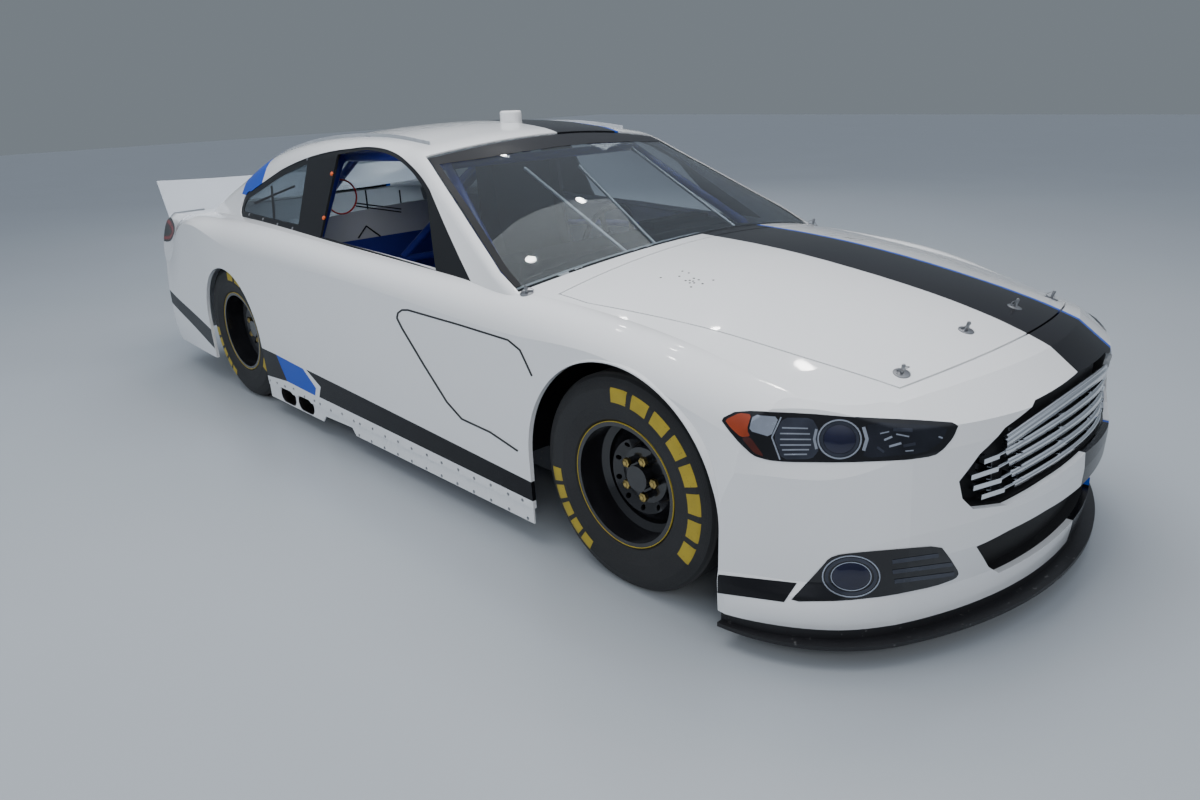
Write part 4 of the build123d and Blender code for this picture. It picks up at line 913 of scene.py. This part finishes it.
# Hood pins with their plates and wire clips, in x and y
hoodPin = {
    "plate": [(0, 0.0022), (0.0215, 0.0022), (0.0235, 0.0008), (0.0235, -0.002)],
    "plateTurns": 24,
    "post": [(0, 0.030), (0.0035, 0.0295), (0.0055, 0.027), (0.0055, 0.0)],
    "postTurns": 14,
    "clip": [(-0.018, -0.006, 0.004), (-0.004, 0.0, 0.019), (0.012, 0.002, 0.021), (0.024, 0.006, 0.014),
             (0.022, 0.014, 0.006), (0.006, 0.014, 0.004), (-0.010, 0.010, 0.004)],
    "wireRadius": 0.0014,
    "places": [(2071, 536), (2082, 177), (2082, -177), (2071, -536)],
    "cowlPlaces": [(900, 857), (900, -857)],
}


def addPins(label, places, on, body):
    hits = [touch(fromAbove, on, *spot) for spot in places]
    shapes, clips = [], []
    for spot, normal in (hit for hit in hits if hit):
        shapes.append(standOn(lathe(hoodPin["plate"], hoodPin["plateTurns"]), spot, normal))
        shapes.append(standOn(lathe(hoodPin["post"], hoodPin["postTurns"]), spot, normal))
        clips.append(standOn(([Vector(p) for p in hoodPin["clip"]], []), spot, normal)[0])
    addPiece(label + "_posts", together(shapes), "steel", body)
    addTubes(label + "_clips", clips, hoodPin["wireRadius"], "steel", body, smooth=True)


addPins("hood_pins", hoodPin["places"], ["hood"], "hood")
behindHood = ["cowl", "fender_right", "fender_left", "door_right", "door_left"]
addPins("cowl_pins", hoodPin["cowlPlaces"], behindHood, "body")

# Fixing screws of the hood, in pixels of an enlarged detail of the photograph
hoodScrew = {
    "profile": [(0, 0.0007), (0.0035, 0.0007), (0.0042, 0.0002), (0.0042, -0.001)],
    "turns": 10,
    "detailOrigin": (500, 200),
    "detailScale": 3.92,
    "places": [(630, 304), (715, 279), (740, 286), (703, 299), (760, 307), (744, 315), (779, 313), (728, 316),
               (757, 318), (761, 325), (744, 325), (794, 328), (836, 314), (749, 341)],
}


def fromDetail(u, v):
    (left, top), scale = hoodScrew["detailOrigin"], hoodScrew["detailScale"]
    return fromPhoto(left + u / scale, top + v / scale)


addPiece("hood_screws", both(studs(hoodScrew, fromDetail, ["hood"])), "trimBlack", "hood")
print("hood fittings made")

# Windshield: blank band along its top and a black border, in x and y, and three braces inside
windshieldTrim = {
    "bandTop": [(99, -646), (118, -480), (134, -240), (139, 0), (134, 240), (118, 480), (99, 646)],
    "bandFoot": [(150, 652), (205, 480), (245, 240), (258, 0), (245, -240), (205, -480), (150, -652)],
    "side": [(94, -644), (430, -737), (760, -838), (935, -862)],
    "sideWidth": 26,
    "foot": [(950, -850), (1030, -600), (1060, -300), (1068, 0), (1060, 300), (1030, 600), (950, 850)],
    "footWidth": 34,
    "lift": 0.9,
    "step": 24.0,
    "braces": [((300, -338, 1204), (905, -375, 930)), ((380, -112, 1196), (915, -231, 938)),
               ((228, 366, 1230), (930, 264, 928))],
    "braceRadius": 0.007,
}


def addWindshieldTrim(trim):
    glass, laid = ["windshield"], {"lift": trim["lift"], "step": trim["step"]}
    band = patch(trim["bandTop"] + trim["bandFoot"], fromAbove, glass, **laid)
    addPiece("windshield_band", band, "vinylBlack")
    sides = both(ribbon(trim["side"], trim["sideWidth"], fromAbove, glass, **laid))
    foot = ribbon(trim["foot"], trim["footWidth"], fromAbove, glass, **laid)
    addPiece("windshield_border", together([sides, foot]), "vinylBlack")
    braces = [[place(*end) for end in brace] for brace in trim["braces"]]
    addTubes("windshield_braces", braces, trim["braceRadius"], "aluminium")


addWindshieldTrim(windshieldTrim)

# Dark straps across the rear side windows, in pixels
windowStrap = {
    "lines": [[(254.5, 203.5), (274, 195), (295, 186)], [(270.5, 171.5), (272.5, 196), (274.5, 221)]],
    "width": 2.2,
    "lift": 0.9,
    "step": 2.5,
}
shape = layLines(windowStrap, fromPhoto, ["quarter_window_right"])
addPiece("window_straps", both(shape), "lineBlack")

# Bolts round the rear side windows and two orange tags at the door window's rear edge, in pixels
windowBolt = {
    "profile": [(0, 0.0030), (0.0040, 0.0028), (0.0062, 0.0012), (0.0070, 0), (0.0070, -0.002)],
    "turns": 12,
    "places": [(307.3, 159.3), (288.3, 166.2), (272.2, 174.0), (257.3, 183.1), (249.3, 214.5), (263.0, 219.1),
               (277.4, 224.3), (292.4, 228.3), (300.4, 193.8)],
}
windowTag = {
    "profile": [(0, 0.0065), (0.007, 0.006), (0.0095, 0.003), (0.0095, -0.001)],
    "turns": 14,
    "places": [(332.0, 174.0), (324.0, 218.0)],
}
rearTrim = ["window_trim_right"]
addPiece("window_bolts", both(studs(windowBolt, fromPhoto, rearTrim)), "steel")
addPiece("window_tags", studs(windowTag, fromPhoto, rearTrim), "orangePlastic")

# Upright clear strips along both sides of the roof, in x and y
roofStrip = {
    "path": [(-22, -566), (-400, -560), (-800, -560), (-1150, -570), (-1400, -596)],
    "height": 14.0,
    "thickness": 4.0,
    "sunk": 1.0,
    "step": 30.0,
}


# An upright strip that stands on the nodes along its path
def fence(strip, on):
    half, low, high = strip["thickness"] / 2000, -strip["sunk"] / 1000, strip["height"] / 1000
    vertices = []
    for x, y in divide(strip["path"], strip["step"], closed=False):
        spot = touch(fromAbove, on, x, y)[0]
        for across, rise in ((-half, low), (-half, high), (half, high), (half, low)):
            vertices.append(spot + Vector((0, across, rise)))
    faces = [(4 * i + k, 4 * i + (k + 1) % 4, 4 * i + 4 + (k + 1) % 4, 4 * i + 4 + k)
             for i in range(len(vertices) // 4 - 1) for k in range(4)]
    last = len(vertices) - 4
    return vertices, faces + [(3, 2, 1, 0), (last, last + 1, last + 2, last + 3)]


addPiece("roof_strips", both(fence(roofStrip, ["roof"])), "stripClear", smooth=False)
print("windows made")

# Tail lamps, dark with a red edge, in y and z on the rear face and in x and z on the side
tailLamp = {
    # finish, lift and outline of each layer
    "rear": [("lampBlack", 1.0, [(470, 826), (905, 850), (930, 800), (905, 738), (480, 760)]),
             ("lampRed", 1.5, [(490, 816), (905, 838), (912, 800), (900, 750), (498, 770)]),
             ("lampBlack", 2.0, [(560, 806), (868, 822), (884, 796), (868, 766), (566, 780)])],
    "side": [("lampBlack", 1.0, [(-2415, 862), (-2320, 858), (-2150, 834), (-2092, 811), (-2150, 764),
                                 (-2225, 744), (-2415, 732)]),
             ("lampRed", 1.5, [(-2415, 850), (-2318, 847), (-2158, 825), (-2112, 808), (-2156, 774),
                               (-2228, 756), (-2415, 744)]),
             ("lampBlack", 2.0, [(-2400, 834), (-2310, 831), (-2200, 815), (-2165, 802), (-2196, 784),
                                 (-2244, 772), (-2400, 762)])],
    "cut": 0.2,
    "step": 13.0,
}
for face, cast, on in (("rear", fromRear, ["tail"]), ("side", fromRight, ["tail", "quarter_right"])):
    for index, (look, lift, outline) in enumerate(tailLamp[face]):
        shape = patch(cutCorners(outline, tailLamp["cut"]), cast, on, lift, tailLamp["step"])
        addPiece(f"tail_lamps_{face}{index}", both(shape), look)

# Dark inset face low in the rear bumper, in y and z
bumperInset = {"outline": [(-560, 300), (-430, 236), (430, 236), (560, 300), (470, 330), (-470, 330)],
               "lift": 0.9, "step": 25.0}
shape = patch(bumperInset["outline"], fromRear, ["tail"], bumperInset["lift"], bumperInset["step"])
addPiece("bumper_inset", shape, "plasticBlack")
print("tail made")

# Grille: fuller bars, the short links between the long and the short bars, and a deeper bar along the top
grille = {
    "merge": 0.0001,
    "swell": 0.0022,
    "links": [((2309, 384, 553), (2303, 424, 552)), ((2313, 370, 518), (2305, 424, 516)),
              ((2319, 356, 482), (2312, 412, 480)), ((2327, 346, 449), (2319, 400, 449))],
    "linkRadius": 0.0052,
    # The top bar's half length, its middle in x and z, and how far it has swept back and down at fullSweep
    "topBar": {"half": 395, "middle": (2351, 643), "sweep": (42, 45), "fullSweep": 400, "pieces": 32},
    "topRadius": 0.0075,
}


def addGrille(settings):
    bars = nodes["grille_bars"]
    weld = bars.modifiers.new("weld", "WELD")
    weld.merge_threshold = settings["merge"]
    swell = bars.modifiers.new("swell", "DISPLACE")
    swell.mid_level = 0.0
    swell.strength = settings["swell"]
    links = [[place(x, side * y, z) for x, y, z in link] for link in settings["links"] for side in (1, -1)]
    addTubes("grille_links", links, settings["linkRadius"], "grilleChrome")
    bar = settings["topBar"]
    top = []
    for index in range(bar["pieces"] + 1):
        across = bar["half"] * (2 * index / bar["pieces"] - 1)
        share = (across / bar["fullSweep"]) ** 2
        top.append(place(bar["middle"][0] - bar["sweep"][0] * share, across,
                         bar["middle"][1] - bar["sweep"][1] * share))
    addTubes("grille_top_bar", [top], settings["topRadius"], "grilleChrome")


addGrille(grille)
print("grille made")

# Dials along the dash, in y and z
dialRim = {
    "profile": [(0.0275, 0.0), (0.0275, 0.009), (0.0300, 0.011), (0.0325, 0.009), (0.0325, -0.006)],
    "turns": 28,
    "places": [(250, 868), (330, 880), (405, 884), (480, 880), (560, 868)],
}
dialFace = {**dialRim, "profile": [(0, 0.006), (0.0275, 0.006)]}
addPiece("dial_rims", studs(dialRim, fromRear, ["dash"]), "steel")
addPiece("dial_faces", studs(dialFace, fromRear, ["dash"]), "dialFace")

# Pale sheet that rises behind the rear shelf, from its foot to its top in x and z, in metres
deckRiser = {"foot": (-1.866, 0.8235), "top": (-1.908, 0.931), "half": 0.62, "thickness": 0.0015}


def slantedSheet(sheet):
    vertices = [Vector((x + shift, y, z)) for shift in (0, -sheet["thickness"])
                for y in (-sheet["half"], sheet["half"]) for x, z in (sheet["foot"], sheet["top"])]
    faces = [(0, 1, 3, 2), (4, 6, 7, 5), (0, 4, 5, 1), (2, 3, 7, 6), (0, 2, 6, 4), (1, 5, 7, 3)]
    return vertices, faces


addPiece("deck_riser", slantedSheet(deckRiser), "deckPale", smooth=False)

# A red hose loop and thin rods that stand on the upper edge of the rear sheet, and two struts on its face,
# with their ends in pixels and the plane, radii and lifts in metres
rearFrame = {
    "plane": -0.911,
    "sunk": 0.001,
    "hoseCentre": (343, 209),
    "hoseLoop": 0.084,
    "hosePieces": 32,
    "hoseRadius": 0.0045,
    "rods": [(399.5, 190), (365.5, 190)],
    "crossBars": [((355.5, 203), (401, 209)), ((356, 206), (401, 212))],
    "struts": [((366, 226), (358, 238)), ((366, 226), (380, 236))],
    "strutLift": 0.003,
    "rodRadius": 0.004,
}


def onRearPlane(u, v):
    start, way = fromPhoto(u, v)
    return start + way * ((rearFrame["plane"] - start.x) / way.x)


def footBelow(spot):
    hit = touch(fromAbove, ["floor"], 1000 * spot.x - wheelbaseMiddle, 1000 * spot.y)
    return Vector((spot.x, spot.y, hit[0].z - rearFrame["sunk"]))


def addRearFrame(settings):
    foot = footBelow(onRearPlane(*settings["hoseCentre"]))
    loop, pieces = settings["hoseLoop"], settings["hosePieces"]
    angles = [2 * pi * index / pieces for index in range(pieces + 1)]
    ring = [foot + Vector((0, loop * sin(angle), loop - loop * cos(angle))) for angle in angles]
    addTubes("red_hose", [ring], settings["hoseRadius"], "redPlastic")
    tops = [onRearPlane(*top) for top in settings["rods"]]
    rods = [[top, footBelow(top)] for top in tops]
    rods += [[onRearPlane(*end) for end in bar] for bar in settings["crossBars"]]
    for strut in settings["struts"]:
        hits = [touch(fromPhoto, ["floor"], *end) for end in strut]
        rods.append([hit[0] + hit[1] * settings["strutLift"] for hit in hits])
    addTubes("rear_rods", rods, settings["rodRadius"], "lineBlack")


addRearFrame(rearFrame)
print("cabin made")

# Wheels: yellow line round the rim, brass nuts and plain yellow marks on the tyre sides, with every outboard
# distance from the middle of the car, in metres
wheelTrim = {
    "line": [(0.2035, 0.0), (0.2040, 0.0012), (0.2062, 0.0012), (0.2062, -0.004)],
    "linePlace": 0.9291,
    "lineTurns": 96,
    "nut": [(0, 0.016), (0.008, 0.016), (0.0085, 0.014), (0.0155, 0.012), (0.0165, 0.0)],
    "nutPlace": 0.852,
    "nutSides": 6,
    "nutCircle": 0.0635,
    "nutCount": 5,
    # Start and end angle of each row of marks in degrees, and their number
    "marks": [(98, -34, 8), (183, 243, 5)],
    "markGap": 0.12,
    "markPieces": 4,
    "markRadii": (0.272, 0.284, 0.295, 0.304, 0.311, 0.317),
    "markLift": 0.0008,
}


# How far outboard the side of a tyre is at one radius, measured on the front right tyre
def tyreSide(radius):
    x = 1000 * (axles["front"] + radius) - wheelbaseMiddle
    return abs(touch(fromRight, ["tyre_front_right"], x, 1000 * tyreRadius)[0].y)


# Blank blocks along the side of a tyre, about its axle, with y as the outboard distance
def tyreMarks(trim):
    radii, pieces = trim["markRadii"], trim["markPieces"]
    sides = [tyreSide(radius) + trim["markLift"] for radius in radii]
    rings = len(radii)
    faces = [(a * rings + k, a * rings + k + 1, (a + 1) * rings + k + 1, (a + 1) * rings + k)
             for a in range(pieces) for k in range(rings - 1)]
    shapes = []
    for start, end, count in trim["marks"]:
        pitch = (end - start) / count
        for index in range(count):
            first = start + pitch * (index + trim["markGap"])
            angles = [radians(first + pitch * (1 - 2 * trim["markGap"]) * step / pieces)
                      for step in range(pieces + 1)]
            vertices = [Vector((radius * cos(angle), side, radius * sin(angle)))
                        for angle in angles for radius, side in zip(radii, sides)]
            shapes.append(turnOut(vertices, faces, Vector((0, -1, 0))))
    return together(shapes)


# A shape of revolution about Z turned to face along y, at one outboard distance
def facingOut(shape, depth):
    return [Vector((v.x, depth + v.z, -v.y)) for v in shape[0]], shape[1]


def wheelNuts(trim):
    nut, faces = facingOut(lathe(trim["nut"], trim["nutSides"]), trim["nutPlace"])
    shapes = []
    for index in range(trim["nutCount"]):
        angle = 2 * pi * index / trim["nutCount"]
        shift = Vector((trim["nutCircle"] * cos(angle), 0, trim["nutCircle"] * sin(angle)))
        shapes.append(([v + shift for v in nut], faces))
    return together(shapes)


# A shape about its axle, with y as the outboard distance, moved to one wheel
def atWheel(shape, side, axle):
    vertices = [Vector((v.x + axle, v.y * side, v.z + tyreRadius)) for v in shape[0]]
    faces = shape[1] if side > 0 else [tuple(reversed(face)) for face in shape[1]]
    return vertices, faces


marks = tyreMarks(wheelTrim)
line = facingOut(lathe(wheelTrim["line"], wheelTrim["lineTurns"]), wheelTrim["linePlace"])
nuts = wheelNuts(wheelTrim)
for end, axle in axles.items():
    for side, name in ((1, "left"), (-1, "right")):
        body = f"wheel_{end}_{name}"
        addPiece(f"tyre_marks_{end}_{name}", atWheel(marks, side, axle), "yellowPaint", body)
        addPiece(f"rim_line_{end}_{name}", atWheel(line, side, axle), "yellowPaint", body)
        addPiece(f"wheel_nuts_{end}_{name}", atWheel(nuts, side, axle), "brassNut", body,
                 smooth=False)
print("wheels made")

# Studio: a pale floor, wide soft lamps and a pale sky, in metres
studio = {
    "floorSize": 60.0,
    "floorColour": (0.40, 0.435, 0.47),
    "floorDimmed": 0.94,
    "floorScale": 0.8,
    "floorRough": 0.30,
    "floorRoughShift": 0.12,
    # Height of the view above the horizon as a sine, and the sky's colour there
    "sky": [(0.0, (0.185, 0.212, 0.238)), (0.10, (0.185, 0.212, 0.238)), (0.45, (0.26, 0.29, 0.34)),
            (0.80, (0.56, 0.62, 0.71)), (1.0, (0.80, 0.86, 0.95))],
    # name, place, aim, size, watts and colour of each wide lamp
    "lamps": [
        ("overheadLamp", (0.5, 0.0, 5.2), (0.3, 0.0, 0.6), (7.0, 3.0), 240, (1.0, 0.98, 0.95)),
        ("frontLamp", (6.5, -4.5, 4.0), (1.2, 0.0, 0.5), (4.0, 2.5), 150, (1.0, 0.98, 0.96)),
        ("sideLamp", (-2.5, -7.0, 3.6), (0.0, 0.0, 0.5), (5.0, 2.0), 120, (0.90, 0.95, 1.0)),
        ("rearLamp", (-6.0, 5.0, 4.4), (-0.5, 0.0, 0.8), (5.0, 2.5), 150, (0.90, 0.95, 1.0)),
    ],
    # Small round ceiling lamps, which give the paint its bright spots
    "spots": [(-2.4, 2.4, 5.2), (-0.9, 2.6, 5.0), (0.5, 2.3, 5.3), (1.9, 2.6, 5.0), (-1.7, 0.7, 5.2),
              (-0.2, 0.9, 5.0), (1.2, 0.6, 5.1), (2.6, 0.9, 5.2), (0.3, -0.8, 5.0), (1.9, -0.9, 5.2)],
    "spotSize": (0.17, 0.17),
    "spotWatts": 5,
    "spotColour": (1.0, 0.98, 0.96),
}


def makeFloor(settings):
    half = settings["floorSize"] / 2
    corners = [(-half, -half, 0), (half, -half, 0), (half, half, 0), (-half, half, 0)]
    mesh = bpy.data.meshes.new("studioFloor")
    mesh.from_pydata(corners, [], [(0, 1, 2, 3)])
    floor = bpy.data.objects.new("studioFloor", mesh)
    collection.objects.link(floor)
    material, tree, surface = newMaterial("paleFloor")
    pattern = useGroup(tree, wearPattern, Scale=settings["floorScale"])
    light = settings["floorColour"]
    dim = tuple(value * settings["floorDimmed"] for value in light)
    tree.links.new(mixColour(tree, pattern["Broad"], dim, light), surface.inputs["Base Color"])
    rough = calc(tree, "MULTIPLY_ADD", pattern["Broad"], settings["floorRoughShift"], settings["floorRough"])
    tree.links.new(rough, surface.inputs["Roughness"])
    mesh.materials.append(material)


def addLamp(name, where, aim, size, watts, colour, shape):
    data = bpy.data.lights.new(name, "AREA")
    data.shape = shape
    data.size, data.size_y = size
    data.energy = watts
    data.color = colour
    lamp = bpy.data.objects.new(name, data)
    lamp.location = where
    if Vector(aim).xy != Vector(where).xy:
        lamp.rotation_euler = (Vector(aim) - Vector(where)).to_track_quat("-Z", "Y").to_euler()
    collection.objects.link(lamp)
    return lamp


def makeLamps(settings):
    for lamp in settings["lamps"]:
        addLamp(*lamp, "RECTANGLE").visible_glossy = False
    size, watts, colour = (settings[key] for key in ("spotSize", "spotWatts", "spotColour"))
    for index, where in enumerate(settings["spots"]):
        addLamp(f"spotLamp{index}", where, (*where[:2], 0), size, watts, colour, "DISK")


def makeSky(settings):
    sky = bpy.data.worlds.new("paleSky")
    sky.use_nodes = True
    tree = sky.node_tree
    height = splitVector(tree, tree.nodes.new("ShaderNodeTexCoord").outputs["Generated"])[2]
    ramp = tree.nodes.new("ShaderNodeValToRGB")
    tree.links.new(height, ramp.inputs[0])
    stops = ramp.color_ramp.elements
    while len(stops) < len(settings["sky"]):
        stops.new(1.0)
    for stop, (position, colour) in zip(stops, settings["sky"]):
        stop.position = position
        stop.color = (*colour, 1)
    tree.links.new(ramp.outputs["Color"], tree.nodes["Background"].inputs["Color"])
    bpy.context.scene.world = sky


makeFloor(studio)
makeLamps(studio)
makeSky(studio)
print("studio made")
